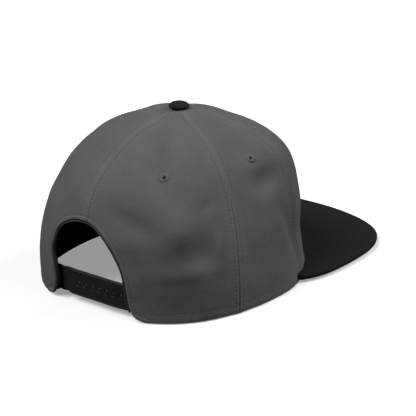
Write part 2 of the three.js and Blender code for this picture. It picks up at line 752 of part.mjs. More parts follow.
// Outer strap with holes, fixed at the wearer's right
function strapRightSolid() {
  let solid = toManifold(strapStrip(-1, OUTER_END_ARC, () => OUTER_STRAP_INSET));
  for (const arc of pegArcs()) {
    const { point, outward } = strapPlace(arc, PEG_HEIGHT, OUTER_STRAP_INSET + STRAP_THICKNESS * 2);
    const drill = roundBar(point, outward, PEG_HOLE_RADIUS, STRAP_THICKNESS * 4, 12);
    solid = solid.subtract(toManifold(drill));
  }
  return fromManifold(solid);
}

// Inner strap with pegs, fixed at the wearer's left; it steps out beside the outer strap's end
function strapLeftSolid() {
  const stepEnd = -OUTER_END_ARC - LAYER_GAP;
  const stepStart = stepEnd - STRAP_HEIGHT * 0.3;
  const insetAt = (arc) => {
    const share = THREE.MathUtils.smoothstep(arc, stepStart, stepEnd);
    return THREE.MathUtils.lerp(OUTER_STRAP_INSET, INNER_STRAP_INSET, share);
  };
  let solid = toManifold(strapStrip(1, INNER_END_ARC, insetAt));
  const reach = INNER_STRAP_INSET - OUTER_STRAP_INSET + PEG_PROUD + STRAP_THICKNESS / 2;
  for (const arc of pegArcs()) {
    const { point, outward } = strapPlace(arc, PEG_HEIGHT, INNER_STRAP_INSET + STRAP_THICKNESS / 2);
    solid = solid.add(toManifold(roundBar(point, outward, PEG_RADIUS, reach, 10)));
  }
  return fromManifold(solid);
}

// Colours
const CROWN_GREY = 0x60605d;
const FABRIC_BLACK = 0x1f1f1f;
const PLASTIC_BLACK = 0x1b1b1b;

const parts = [];

function addPart(name, geometry, colour, roughness) {
  parts.push({ name, geometry, colour, roughness });
}

for (const [sideName, side] of [['right', 1], ['left', -1]]) {
  const back = panelSolid(backRows(side), side);
  const flank = panelSolid(plainRows(rearSeam, frontSeam), side);
  const front = panelSolid(plainRows(frontSeam, () => 180), side);
  addPart(`panel_back_${sideName}`, withEyeletHole(back, 'back', side), CROWN_GREY, 0.95);
  addPart(`panel_side_${sideName}`, withEyeletHole(flank, 'side', side), CROWN_GREY, 0.95);
  addPart(`panel_front_${sideName}`, withEyeletHole(front, 'front', side), CROWN_GREY, 0.95);
  for (const eyelet of EYELETS) {
    addPart(`eyelet_${eyelet.panel}_${sideName}`, eyeletRing(eyelet, side), CROWN_GREY, 0.95);
  }
}
addPart('button', buttonSolid(), FABRIC_BLACK, 0.9);
addPart('brim', brimSolid(), FABRIC_BLACK, 0.92);
addPart('sweatband', sweatbandSolid(), FABRIC_BLACK, 0.95);
addPart('arch_tape', tapeSolid(), FABRIC_BLACK, 0.95);
addPart('strap_left', strapLeftSolid(), PLASTIC_BLACK, 0.5);
addPart('strap_right', strapRightSolid(), PLASTIC_BLACK, 0.5);

// Origin at the middle of the underside of the whole cap
const extent = new THREE.Box3();
for (const part of parts) {
  part.geometry.computeBoundingBox();
  extent.union(part.geometry.boundingBox);
}
const middle = extent.getCenter(new THREE.Vector3());

const cap = new THREE.Group();
cap.name = 'snapback_cap';
for (const part of parts) {
  part.geometry.translate(-middle.x, -middle.y, -extent.min.z);
  part.geometry.computeVertexNormals();
  const material = new THREE.MeshStandardMaterial({
    color: part.colour,
    roughness: part.roughness,
    metalness: 0,
  });
  const mesh = new THREE.Mesh(part.geometry, material);
  mesh.name = part.name;
  cap.add(mesh);
}

export default cap;
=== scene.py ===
import math

import bpy
import numpy as np
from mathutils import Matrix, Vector, noise


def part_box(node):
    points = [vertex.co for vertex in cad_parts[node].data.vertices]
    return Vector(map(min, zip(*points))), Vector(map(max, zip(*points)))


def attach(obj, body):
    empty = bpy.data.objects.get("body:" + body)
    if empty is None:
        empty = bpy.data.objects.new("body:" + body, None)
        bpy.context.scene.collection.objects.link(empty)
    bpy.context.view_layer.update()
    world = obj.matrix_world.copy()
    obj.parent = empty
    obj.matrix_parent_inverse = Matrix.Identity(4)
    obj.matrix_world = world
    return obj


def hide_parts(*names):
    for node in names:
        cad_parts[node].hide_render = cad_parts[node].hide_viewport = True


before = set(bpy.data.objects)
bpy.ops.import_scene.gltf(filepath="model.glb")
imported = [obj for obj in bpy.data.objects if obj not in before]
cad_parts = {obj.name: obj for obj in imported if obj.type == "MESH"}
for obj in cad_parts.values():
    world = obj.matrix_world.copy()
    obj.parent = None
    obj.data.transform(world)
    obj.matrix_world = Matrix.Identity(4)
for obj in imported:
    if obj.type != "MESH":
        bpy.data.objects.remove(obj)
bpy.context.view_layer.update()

# Metres, +Z up, the brim points along -Y and +X is the wearer's left. Azimuth is measured
# round the crown from the back seam, in degrees, positive toward the wearer's right.

MM = 0.001

# Main sizes of the crown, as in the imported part
HEAD_RADIUS = 90 * MM
CROWN_HEIGHT = 113.6 * MM
APEX_SET_FORWARD = 7.9 * MM
PANEL_THICKNESS = 2 * MM
TOP_OPENING_RADIUS = 4 * MM
ARCH_HEIGHT = 61.5 * MM

button_low, button_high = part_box("button")
APEX_Y = (button_low.y + button_high.y) / 2
ORIGIN_Y = APEX_Y + APEX_SET_FORWARD

SIDES = (("right", 1), ("left", -1))

# Hem radius by azimuth, as a share of the head radius
HEM = [
    (0, 0.982), (22, 0.988), (45, 0.992), (67, 0.944), (90, 0.932),
    (112, 0.978), (135, 1.026), (158, 1.062), (180, 1.058),
]

# Crown sections from hem to apex: height share, then reach shares at four azimuths
SECTION_AZIMUTHS = [0, 82, 130, 180]
SECTIONS = np.array([
    (0.0, 1.0, 1.0, 1.0, 1.0),
    (0.13, 1.014, 0.986, 0.966, 1.004),
    (0.27, 1.025, 0.956, 0.945, 0.996),
    (0.41, 1.02, 0.914, 0.943, 0.973),
    (0.55, 0.988, 0.85, 0.916, 0.928),
    (0.69, 0.921, 0.765, 0.866, 0.855),
    (0.82, 0.755, 0.653, 0.716, 0.703),
    (0.92, 0.525, 0.475, 0.46, 0.45),
    (0.98, 0.261, 0.232, 0.208, 0.205),
    (1.0, 0.0, 0.0, 0.0, 0.0),
])

# Azimuth of the rear and front side seams at each section
SEAMS = np.array([
    (68.5, 123), (68.7, 122), (69, 121.5), (69.7, 120), (70.3, 118.5),
    (70, 119), (68, 120), (65, 120), (60, 120), (60, 120),
])

# Rear arch: share of its height, right and left edge azimuths, share at the rear seam
ARCH_EDGE = np.array([
    (0.0, 27.6, 27.4, 0.0), (0.03, 24, 23.4, 0.045), (0.09, 21.8, 20.8, 0.1),
    (0.2, 20.6, 19.4, 0.21), (0.32, 20, 19.6, 0.32), (0.43, 19.4, 20.3, 0.42),
    (0.55, 18.4, 20.8, 0.52), (0.67, 16.2, 19.4, 0.62), (0.79, 13.2, 17.2, 0.71),
    (0.89, 9.6, 13.6, 0.79), (0.955, 6.2, 9, 0.86), (0.99, 3, 4.6, 0.93), (1.0, 0, 0, 1.01),
])

# Soft folds: azimuth, height as a share of the crown, half widths across and along and
# depth as shares of the head radius, tilt in degrees; depth is positive inward
FOLDS = [
    (118, 0.3, 0.14, 0.4, 0, 0.03),
    (-118, 0.3, 0.14, 0.4, 0, 0.03),
    (110, 0.4, 0.08, 0.22, 28, 0.014),
    (104, 0.67, 0.17, 0.1, 0, 0.038),
    (94, 0.85, 0.12, 0.12, 0, 0.024),
    (22, 0.565, 0.19, 0.06, -26, 0.02),
    (17, 0.47, 0.16, 0.09, -22, -0.02),
    (52, 0.385, 0.11, 0.11, 0, 0.022),
    (44, 0.29, 0.24, 0.06, 3, -0.01),
    (40, 0.52, 0.12, 0.12, 0, -0.034),
    (42, 0.1, 0.26, 0.14, 0, 0.01),
    (-31, 0.66, 0.2, 0.1, 0, 0.022),
    (-98, 0.62, 0.16, 0.12, 15, 0.018),
]

# Smaller folds and creases, in the same terms, that the cloth alone has
CREASES = [
    (113, 0.31, 0.06, 0.25, 28, 0.011),
    (60, 0.4, 0.05, 0.12, -8, -0.014),
    (27, 0.86, 0.07, 0.17, 27, 0.045),
    (55, 0.625, 0.05, 0.045, 0, 0.012),
    (43, 0.5, 0.12, 0.12, 0, -0.014),
    (89, 0.85, 0.1, 0.1, 0, 0.018),
    (95, 0.66, 0.1, 0.08, 0, 0.018),
]

# Eyelets: azimuth and section index, one on each panel
EYELETS = {"back": (34, 5.75), "side": (97, 5.78), "front": (157, 5.45)}

# Brim outline from the right root end to the middle of the front: shares forward and across
BRIM_HALF_WIDTH = 92.4 * MM
BRIM_FRONT_EXTENT = 164 * MM
BRIM_EDGE = [
    (0.22, 0.905), (0.255, 0.937), (0.31, 0.97), (0.394, 0.993), (0.518, 1.0),
    (0.655, 0.987), (0.742, 0.949), (0.8, 0.901), (0.844, 0.848), (0.888, 0.768),
    (0.933, 0.634), (0.965, 0.482), (0.989, 0.297), (0.998, 0.143), (1.0, 0.0),
]


# Curves and surface of the crown

def spline(xs, ys, start=None, end=None):
    """Cubic spline through points; an end slope of None leaves that end free."""
    xs, ys = np.array(xs, float), np.array(ys, float)
    count = len(xs)
    rows, right = np.zeros((count, count)), np.zeros(count)
    steps, rises = np.diff(xs), np.diff(ys)
    for i in range(1, count - 1):
        before, after = steps[i - 1], steps[i]
        rows[i, i - 1:i + 2] = after, 2 * (before + after), before
        right[i] = 3 * (after * rises[i - 1] / before + before * rises[i] / after)
    rows[0, :2] = (2, 1) if start is None else (1, 0)
    right[0] = 3 * rises[0] / steps[0] if start is None else start
    rows[-1, -2:] = (1, 2) if end is None else (0, 1)
    right[-1] = 3 * rises[-1] / steps[-1] if end is None else end
    slopes = np.linalg.solve(rows, right)

    def value(x):
        x = np.asarray(x, float)
        i = np.clip(np.searchsorted(xs, x, side="right") - 1, 0, count - 2)
        width = xs[i + 1] - xs[i]
        t = (x - xs[i]) / width
        t2, t3 = t * t, t * t * t
        near = (2 * t3 - 3 * t2 + 1) * ys[i] + (t3 - 2 * t2 + t) * width * slopes[i]
        return near + (3 * t2 - 2 * t3) * ys[i + 1] + (t3 - t2) * width * slopes[i + 1]

    return value


SECTION_INDEX = np.arange(len(SECTIONS))
LAST_SECTION = len(SECTIONS) - 1
height_share = spline(SECTION_INDEX, SECTIONS[:, 0], None, 0)
reach_columns = [spline(SECTION_INDEX, column) for column in SECTIONS[:, 1:].T]
column_weights = [spline(SECTION_AZIMUTHS, row, 0, 0) for row in np.eye(4)]
hem_share = spline(*zip(*HEM), 0, 0)
rear_seam = spline(SECTION_INDEX, SEAMS[:, 0], None, 0)
front_seam = spline(SECTION_INDEX, SEAMS[:, 1], None, 0)


def wrap(azimuth):
    return azimuth - 360 * np.round(azimuth / 360)


def same_shape(*values):
    return np.broadcast_arrays(*[np.asarray(value, float) for value in values])


def base_skin(azimuth, section):
    azimuth, section = same_shape(azimuth, section)
    angle, turn = np.radians(azimuth), np.abs(wrap(azimuth))
    radius = HEAD_RADIUS * hem_share(turn)
    reach = sum(w(turn) * c(section) for w, c in zip(column_weights, reach_columns))
    x = -radius * reach * np.sin(angle)
    y = radius * reach * np.cos(angle) - APEX_SET_FORWARD * (1 - reach) + ORIGIN_Y
    return np.stack([x, y, CROWN_HEIGHT * height_share(section)], -1)


def from_axis(points):
    """Level distance of points from the crown's axis."""
    return np.hypot(points[..., 0], points[..., 1] - ORIGIN_Y)


def unit(vectors):
    return vectors / np.maximum(np.linalg.norm(vectors, axis=-1, keepdims=True), 1e-12)


def run_lengths(points):
    """Distance run along a line at each of its points."""
    return np.concatenate([[0], np.cumsum(np.linalg.norm(np.diff(points, axis=0), axis=1))])


def surface_normal(surface, azimuth, section):
    along = surface(azimuth + 0.6, section) - surface(azimuth - 0.6, section)
    up = surface(azimuth, section + 0.05) - surface(azimuth, np.maximum(section - 0.05, 0))
    return unit(np.cross(along, up))


def fold_depth(azimuth, point):
    depth = np.zeros(point.shape[:-1])
    radius = from_axis(point)
    for middle, height, across, along, tilt, deep in FOLDS + CREASES:
        side = np.radians(wrap(azimuth - middle)) * radius
        rise = point[..., 2] - height * CROWN_HEIGHT
        c, s = math.cos(math.radians(tilt)), math.sin(math.radians(tilt))
        a = (side * c + rise * s) / (across * HEAD_RADIUS)
        b = (rise * c - side * s) / (along * HEAD_RADIUS)
        depth += deep * HEAD_RADIUS * np.exp(-a * a - b * b)
    return depth


def level_hem(point, section, height):
    point[..., 2] = np.where(section <= 0, height, point[..., 2])
    return point


def skin(azimuth, section):
    azimuth, section = same_shape(azimuth, section)
    point = base_skin(azimuth, section)
    depth = fold_depth(azimuth, point)
    moved = point - surface_normal(base_skin, azimuth, section) * depth[..., None]
    return level_hem(moved, section, point[..., 2])


fine_sections = np.linspace(0, LAST_SECTION, 4001)
fine_heights = CROWN_HEIGHT * height_share(fine_sections)


def section_at(height):
    return np.interp(height, fine_heights, fine_sections)


fine_reach = np.hypot(*(base_skin(45, fine_sections) - [0, APEX_Y, 0])[:, :2].T)
TOP_SECTION = float(fine_sections[np.argmax((fine_reach < TOP_OPENING_RADIUS) & (fine_sections > 5))])


# Seam lines, arch edges and distances to them

def distance_to(points, line):
    """Distance of each point to a polyline."""
    shape = points.shape[:-1]
    points = points.reshape(-1, 3)
    starts, spans = line[:-1], np.diff(line, axis=0)
    lengths = np.maximum((spans ** 2).sum(1), 1e-18)
    found = np.empty(len(points))
    for i in range(0, len(points), 2000):
        block = points[i:i + 2000, None] - starts[None]
        share = np.clip((block * spans).sum(2) / lengths, 0, 1)
        found[i:i + 2000] = np.sqrt(((block - share[..., None] * spans) ** 2).sum(2)).min(1)
    return found.reshape(shape)


seam_sections = np.linspace(0, LAST_SECTION - 0.02, 80)
arch_top_section = float(section_at(ARCH_HEIGHT))
centre_sections = np.linspace(arch_top_section, LAST_SECTION - 0.02, 60)


SEAM_LINES = {"centre_front": (np.full(len(seam_sections), 180.0), seam_sections)}
SEAM_LINES["centre_back"] = (np.zeros(len(centre_sections)), centre_sections)
for tag, sign in SIDES:
    for seam, azimuth_at in (("rear", rear_seam), ("front", front_seam)):
        SEAM_LINES[f"{seam}_{tag}"] = (sign * azimuth_at(seam_sections), seam_sections)
seam_points = {name: skin(*line) for name, line in SEAM_LINES.items()}

arch_rows = np.arange(len(ARCH_EDGE))
arch_height = spline(arch_rows, ARCH_EDGE[:, 0])
arch_right = spline(arch_rows, ARCH_EDGE[:, 1], None, None)
arch_left = spline(arch_rows, ARCH_EDGE[:, 2], None, None)
arch_seam = spline(arch_rows, ARCH_EDGE[:, 3])


def arch_edge(rows, sign):
    edge = arch_right if sign > 0 else arch_left
    azimuth = sign * np.maximum(edge(rows), 0)
    return azimuth, section_at(np.maximum(arch_height(rows), 0) * ARCH_HEIGHT)


fine_rows = np.linspace(0, len(ARCH_EDGE) - 1, 90)
arch_line = [np.concatenate(pair) for pair in zip(
    arch_edge(fine_rows, 1), [part[::-1][1:] for part in arch_edge(fine_rows, -1)])]
arch_points = skin(*arch_line)


def bell(distance, middle, width):
    return np.exp(-(((distance - middle * MM) / (width * MM)) ** 2))


def smooth_step(value, low, high):
    t = np.clip((value - low) / (high - low), 0, 1)
    return t * t * (3 - 2 * t)


def rolled(distance, radius):
    """How far a rounded edge falls back at a distance from it."""
    inner = np.clip(radius - distance, 0, radius)
    return radius - np.sqrt(np.maximum(radius ** 2 - inner ** 2, 0))


def ripple(points, size, seed):
    """Smooth noise from -1 to 1 with features of a given size."""
    flat = points.reshape(-1, 3) / size + seed
    values = [noise.noise(Vector(p)) for p in flat]
    return np.array(values).reshape(points.shape[:-1])


# Depth of the crease along each seam in its upper and lower part, in millimetres, and the
# height share at which one turns into the other
SEAM_CREASES = {"centre": (0.14, 0.14, 0.5), "rear": (0.12, 0.6, 0.62), "front": (0.45, 0.6, 0.6)}
SEAM_STITCH = 3.2
HEM_STITCH = 5.6
ARCH_STITCH = 3.2
EDGE_ROUND = 0.95 * MM
# Height of the doubled cloth along a seam, half widths of its band, of a crease and of a
# row of stitches, in millimetres
SEAM_RAISE = 0.85
SEAM_BAND = 4.8
CREASE_WIDTH = 0.6
STITCH_WIDTH = 0.55
# Seams flatten toward the button over this zone
FLAT_RADIUS = 6 * MM
FLAT_ZONE = 14 * MM

eyelet_points = {}
for tag, sign in SIDES:
    for panel, (azimuth, section) in EYELETS.items():
        eyelet_points[f"{panel}_{tag}"] = skin(np.array(sign * azimuth), np.array(section))


def cloth(azimuth, section):
    """Outer face of the sewn cloth: seams, stitch dips, rolled edges and small ripples."""
    azimuth, section = same_shape(azimuth, section)
    point = skin(azimuth, section)
    normal = surface_normal(skin, azimuth, section)
    seams = {name: distance_to(point, line) for name, line in seam_points.items()}
    seam = np.min(list(seams.values()), axis=0)
    arch = distance_to(point, arch_points)
    hem = point[..., 2]
    from_apex = np.hypot(point[..., 0], point[..., 1] - APEX_Y)
    near_top = np.clip((from_apex - FLAT_RADIUS) / FLAT_ZONE, 0, 1)
    rise = point[..., 2] / CROWN_HEIGHT
    lift = SEAM_RAISE * bell(seam, 0, SEAM_BAND) * near_top
    for name, distance in seams.items():
        top_crease, low_crease, middle_rise = SEAM_CREASES[name.split("_")[0]]
        low_share = 1 - smooth_step(rise, middle_rise - 0.1, middle_rise + 0.1)
        crease = top_crease + (low_crease - top_crease) * low_share
        lift -= crease * bell(distance, 0, CREASE_WIDTH) * near_top
    pucker = 0.5 + 0.5 * ripple(point, 3.2 * MM, 11.3)
    lift -= (0.07 + 0.08 * pucker) * bell(seam, SEAM_STITCH, STITCH_WIDTH) * near_top
    lift += 0.16 * (pucker - 0.5) * bell(seam, 4.5, 3.5)
    lift -= (0.1 + 0.12 * pucker) * bell(hem, HEM_STITCH, STITCH_WIDTH)
    lift += 0.12 * bell(hem, 2.8, 2.2) + 0.2 * (pucker - 0.5) * bell(hem, 3, 4)
    lift -= (0.2 + 0.22 * pucker) * bell(arch, ARCH_STITCH, STITCH_WIDTH)
    lift += 0.25 * bell(arch, 1.7, 1.2)
    for centre in eyelet_points.values():
        ring = np.linalg.norm(point - centre, axis=-1)
        lift -= 0.15 * bell(ring, 4.3, 1.2)
    lift += 0.28 * ripple(point, 17 * MM, 3.7) + 0.1 * ripple(point, 6 * MM, 5.1)
    fall = np.maximum(rolled(arch, EDGE_ROUND), rolled(hem, EDGE_ROUND))
    moved = point + normal * (lift * MM - fall)[..., None]
    return level_hem(moved, section, point[..., 2])


def painted_highlight_share(points):
    """How much a place on the cloth is painted paler, as a painted highlight over the raised doubled cloth
    along seams and the arch.
    """
    seam = np.min([distance_to(points, line) for line in seam_points.values()], axis=0)
    arch = distance_to(points, arch_points)
    return np.maximum(bell(seam, 0, 6), 0.8 * bell(arch, 0, 6))


def lining(azimuth, section, inset):
    """Inner face of the cloth at an inset, rounded toward its edges."""
    azimuth, section = same_shape(azimuth, section)
    point = skin(azimuth, section)
    normal = surface_normal(skin, azimuth, section)
    arch = distance_to(point, arch_points)
    rise = np.maximum(rolled(arch, EDGE_ROUND), rolled(point[..., 2], EDGE_ROUND))
    moved = point - normal * (inset - rise)[..., None]
    return level_hem(moved, section, point[..., 2])


# Meshes

def mesh_piece(name, points, faces, marks=None, uv=None, smooth=True, painted_highlight=None):
    """Object from points and faces. Marks gives each face's material slot, and the last argument
    how much each point of the cloth is painted paler as a painted highlight, from 0 to 1."""
    mesh = bpy.data.meshes.new(name)
    mesh.from_pydata([tuple(p) for p in np.asarray(points, float)], [], [tuple(f) for f in faces])
    if uv is not None:
        layer = mesh.uv_layers.new(name="cloth")
        loops = np.empty(len(mesh.loops), int)
        mesh.loops.foreach_get("vertex_index", loops)
        layer.data.foreach_set("uv", np.asarray(uv, float)[loops].ravel())
    if painted_highlight is not None:
        shares = mesh.attributes.new("painted_highlight", "FLOAT", "POINT")
        shares.data.foreach_set("value", np.asarray(painted_highlight, float))
    mesh.polygons.foreach_set("use_smooth", [smooth] * len(mesh.polygons))
    if marks is not None:
        mesh.polygons.foreach_set("material_index", np.asarray(marks, int))
    mesh.update()
    piece = bpy.data.objects.new(name, mesh)
    bpy.context.scene.collection.objects.link(piece)
    return piece


def facing_out(points, faces):
    """Turns the faces round if the closed mesh is inside out."""
    points = np.asarray(points, float)
    fans = np.array([(face[0], face[i], face[i + 1])
                     for face in faces for i in range(1, len(face) - 1)])
    a, b, c = points[fans[:, 0]], points[fans[:, 1]], points[fans[:, 2]]
    volume = (a * np.cross(b, c)).sum()
    return faces if volume > 0 else [tuple(face[::-1]) for face in faces]


def shell(outer, inner, dropped=None):
    """Closed mesh between two grids with the same rows and columns. Cells that dropped marks
    are left open through both faces. The marks are 0 for the outer face and 1 for the rest."""
    rows, columns = outer.shape[:2]
    points = np.concatenate([outer.reshape(-1, 3), inner.reshape(-1, 3)])
    shift = rows * columns
    kept = np.ones((rows - 1, columns - 1), bool)
    if dropped is not None:
        kept &= ~dropped
    faces, marks = [], []
    for i in range(rows - 1):
        for j in range(columns - 1):
            if not kept[i, j]:
                continue
            a, b = i * columns + j, i * columns + j + 1
            c, d = b + columns, a + columns
            faces.append((a, b, c, d))
            faces.append((a + shift, d + shift, c + shift, b + shift))
            marks += [0, 1]
            for di, dj, start, end in ((-1, 0, a, b), (0, 1, b, c), (1, 0, c, d), (0, -1, d, a)):
                k, m = i + di, j + dj
                if 0 <= k < rows - 1 and 0 <= m < columns - 1 and kept[k, m]:
                    continue
                faces.append((start, start + shift, end + shift, end))
                marks.append(1)
    return points, facing_out(points, faces), marks


def loft(loops, closed_path=False):
    """Closed mesh through loops of points, capped at its two ends unless the path closes."""
    loops = np.asarray(loops, float)
    steps, count = loops.shape[:2]
    points = loops.reshape(-1, 3)
    faces = []
    for i in range(steps if closed_path else steps - 1):
        near, far = i * count, (i + 1) % steps * count
        for j in range(count):
            k = (j + 1) % count
            faces.append((near + j, near + k, far + k, far + j))
    if not closed_path:
        faces.append(tuple(range(count))[::-1])
        faces.append(tuple((steps - 1) * count + j for j in range(count)))
    return points, facing_out(points, faces)


def joined(name, parts):
    """One object from several closed meshes."""
    points, faces, start = [], [], 0
    for part_points, part_faces in parts:
        points.append(part_points)
        faces += [tuple(i + start for i in face) for face in part_faces]
        start += len(part_points)
    return mesh_piece(name, np.concatenate(points), faces)


# Stitches: short threads that dip into the cloth at both ends

THREAD_RADIUS = 0.22 * MM
STITCH_PITCH = 2.7 * MM
STITCH_LENGTH = 2.1 * MM


def along_line(points, spacing):
    """Places along a polyline at an even spacing, as fractional indices into it."""
    lengths = run_lengths(points)
    count = max(int(lengths[-1] / spacing), 1)
    at = (np.arange(count) + 0.5) * lengths[-1] / count
    return np.interp(at, lengths, np.arange(len(points)))


def stitch_row(points, normals, pitch=STITCH_PITCH, length=STITCH_LENGTH, radius=THREAD_RADIUS):
    """Threads along a line on a surface with the given normals."""
    made = []
    index = np.arange(len(points))
    profile = [(-0.5, 0.25, -0.5), (-0.36, 0.85, 0.25), (0, 1, 0.6), (0.36, 0.85, 0.25),
               (0.5, 0.25, -0.5)]
    turns = np.radians(np.arange(0, 360, 60))
    for place in along_line(points, pitch):
        def at(values, where):
            return np.array([np.interp(where, index, values[:, axis]) for axis in range(3)])
        middle, normal = at(points, place), unit(at(normals, place))
        along = unit(at(points, min(place + 0.5, index[-1])) - at(points, max(place - 0.5, 0)))
        side = unit(np.cross(normal, along))
        loops = []
        for run, wide, lift in profile:
            centre = middle + along * run * length + normal * lift * radius
            ring = [side * math.cos(turn) + normal * math.sin(turn) for turn in turns]
            loops.append([centre + radius * wide * spoke for spoke in ring])
        made.append(loft(loops))
    return made


def cloth_line(azimuth, section):
    points = cloth(azimuth, section)
    normals = surface_normal(skin, azimuth, section)
    return points, normals


# Materials

def colour(value):
    return (*value, 1)


def new_material(name):
    material = bpy.data.materials.new(name)
    material.use_nodes = True
    nodes, links = material.node_tree.nodes, material.node_tree.links
    return material, nodes, links, nodes["Principled BSDF"]


def scaled_tone(tone, gain):
    return tuple(c * gain for c in tone)


def math_node(nodes, links, operation, first, second=None):
    node = nodes.new("ShaderNodeMath")
    node.operation = operation
    for socket, value in zip(node.inputs, (first, second)):
        if value is None:
            continue
        if isinstance(value, (int, float)):
            socket.default_value = value
        else:
            links.new(value, socket)
    return node.outputs[0]


def weighted_sum(nodes, links, *terms):
    """Sum of sockets, each times its weight."""
    total = None
    for socket, weight in terms:
        part = math_node(nodes, links, "MULTIPLY", socket, weight)
        total = part if total is None else math_node(nodes, links, "ADD", total, part)
    return total


def noise_node(nodes, links, vector, scale, detail=2.0, rough=0.5):
    node = nodes.new("ShaderNodeTexNoise")
    node.inputs["Scale"].default_value = scale
    node.inputs["Detail"].default_value = detail
    node.inputs["Roughness"].default_value = rough
    links.new(vector, node.inputs["Vector"])
    return node.outputs["Fac"]


def ramp(nodes, links, factor, stops):
    node = nodes.new("ShaderNodeValToRGB")
    while len(node.color_ramp.elements) < len(stops):
        node.color_ramp.elements.new(0.5)
    for element, (position, value) in zip(node.color_ramp.elements, stops):
        element.position = position
        element.color = colour(value)
    links.new(factor, node.inputs["Fac"])
    return node.outputs["Color"]


def add_bump(nodes, links, shader, height, strength, distance):
    bumped = nodes.new("ShaderNodeBump")
    bumped.inputs["Strength"].default_value = strength
    bumped.inputs["Distance"].default_value = distance
    links.new(height, bumped.inputs["Height"])
    links.new(bumped.outputs["Normal"], shader.inputs["Normal"])


YARN_WIDTH = 0.75 * MM
YARN_SLANT = 58
TONE_SPREAD = 0.2


def fabric(name, tone, rough, uses_uv, painted_highlight=0):
    """Twill: slanted yarns in the bump and, faintly, in the colour, with soft uneven patches; the last
    argument paints the cloth paler where the mesh says, a painted highlight.
    """
    material, nodes, links, shader = new_material(name)
    place = nodes.new("ShaderNodeTexCoord")
    cloth_place = place.outputs["UV"] if uses_uv else place.outputs["Object"]
    turned = nodes.new("ShaderNodeMapping")
    turned.inputs["Rotation"].default_value = (0, 0, math.radians(YARN_SLANT))
    links.new(cloth_place, turned.inputs["Vector"])
    wave = nodes.new("ShaderNodeTexWave")
    wave.wave_type, wave.bands_direction, wave.wave_profile = "BANDS", "X", "SIN"
    wave.inputs["Scale"].default_value = 2 * math.pi / (20 * YARN_WIDTH)
    wave.inputs["Distortion"].default_value = 1.6
    wave.inputs["Detail"].default_value = 2
    wave.inputs["Detail Scale"].default_value = 1.4
    links.new(turned.outputs["Vector"], wave.inputs["Vector"])
    slub = noise_node(nodes, links, place.outputs["Object"], 1 / (1.3 * MM), 3, 0.6)
    cloud = noise_node(nodes, links, place.outputs["Object"], 1 / (16 * MM), 3, 0.55)
    fuzz = noise_node(nodes, links, place.outputs["Object"], 1 / (0.35 * MM), 2, 0.6)
    mixed = weighted_sum(nodes, links, (slub, 0.55), (cloud, 0.3), (wave.outputs["Fac"], 0.15))
    low, high = scaled_tone(tone, 1 - TONE_SPREAD), scaled_tone(tone, 1 + TONE_SPREAD)
    tint = ramp(nodes, links, mixed, [(0.22, low), (0.78, high)])
    # Painted highlight: the colour is made paler over the raised seams and the arch edge, by the share
    # stored on the mesh
    if painted_highlight:
        share = nodes.new("ShaderNodeAttribute")
        share.attribute_name = "painted_highlight"
        gain = math_node(nodes, links, "MULTIPLY", share.outputs["Fac"], painted_highlight)
        gain = math_node(nodes, links, "ADD", gain, 1.0)
        scaled = nodes.new("ShaderNodeVectorMath")
        scaled.operation = "SCALE"
        links.new(tint, scaled.inputs[0])
        links.new(gain, scaled.inputs["Scale"])
        tint = scaled.outputs["Vector"]
    links.new(tint, shader.inputs["Base Color"])
    height = weighted_sum(nodes, links, (wave.outputs["Fac"], 0.6), (fuzz, 0.5), (slub, 0.6))
    add_bump(nodes, links, shader, height, 0.35, 0.12 * MM)
    shader.inputs["Roughness"].default_value = rough
    shader.inputs["Specular IOR Level"].default_value = 0.2
    return material


def thread(name, tone):
    material, nodes, links, shader = new_material(name)
    place = nodes.new("ShaderNodeTexCoord")
    strands = noise_node(nodes, links, place.outputs["Object"], 1 / (0.5 * MM), 2)
    low, high = scaled_tone(tone, 0.8), scaled_tone(tone, 1.2)
    links.new(ramp(nodes, links, strands, [(0.3, low), (0.7, high)]), shader.inputs["Base Color"])
    add_bump(nodes, links, shader, strands, 0.3, 0.05 * MM)
    shader.inputs["Roughness"].default_value = 0.75
    shader.inputs["Specular IOR Level"].default_value = 0.3
    return material


def plastic(name, tone):
    material, nodes, links, shader = new_material(name)
    place = nodes.new("ShaderNodeTexCoord")
    grain = noise_node(nodes, links, place.outputs["Object"], 1 / (0.5 * MM), 3)
    smear = noise_node(nodes, links, place.outputs["Object"], 1 / (9 * MM), 3)
    low, high = scaled_tone(tone, 0.88), scaled_tone(tone, 1.15)
    links.new(ramp(nodes, links, smear, [(0.3, low), (0.7, high)]), shader.inputs["Base Color"])
    roughness = math_node(nodes, links, "ADD", math_node(nodes, links, "MULTIPLY", smear, 0.12), 0.55)
    links.new(roughness, shader.inputs["Roughness"])
    add_bump(nodes, links, shader, grain, 0.15, 0.05 * MM)
    return material


CROWN_TONE = (0.112, 0.112, 0.106)
# The crown cloth is painted up to 13 % paler along the seams and the arch edge, a painted highlight
crown_cloth = fabric("crown_twill", CROWN_TONE, 0.92, True, painted_highlight=0.13)
crown_lining = fabric("crown_lining", (0.006, 0.006, 0.0055), 0.95, True)
crown_thread = thread("crown_thread", scaled_tone(CROWN_TONE, 1.02))
button_cloth = fabric("button_twill", (0.014, 0.014, 0.015), 0.85, False)
brim_cloth = fabric("brim_twill", (0.0086, 0.0086, 0.0086), 0.9, True)
brim_thread = thread("brim_thread", (0.012, 0.012, 0.012))
tape_cloth = fabric("tape_twill", (0.045, 0.045, 0.043), 0.9, False)
eyelet_thread = thread("eyelet_thread", scaled_tone(CROWN_TONE, 1.12))
band_cloth = fabric("band_twill", (0.006, 0.006, 0.0055), 0.95, False)
strap_plastic = plastic("strap_plastic", (0.0085, 0.0085, 0.0085))


def finish_piece(piece, slot, *materials, replaces=()):
    for material in materials:
        piece.data.materials.append(material)
    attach(piece, "root")
    if replaces:
        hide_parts(*replaces)
    return piece


# Crown panels

EDGE_STEPS = np.array([0, 0.1, 0.25, 0.45, 0.7, 1, 1.4, 1.8, 2.2, 2.6, 3, 3.4, 3.8, 4.3, 5, 5.8]) * MM
MIDDLE_STEP = 1.35 * MM


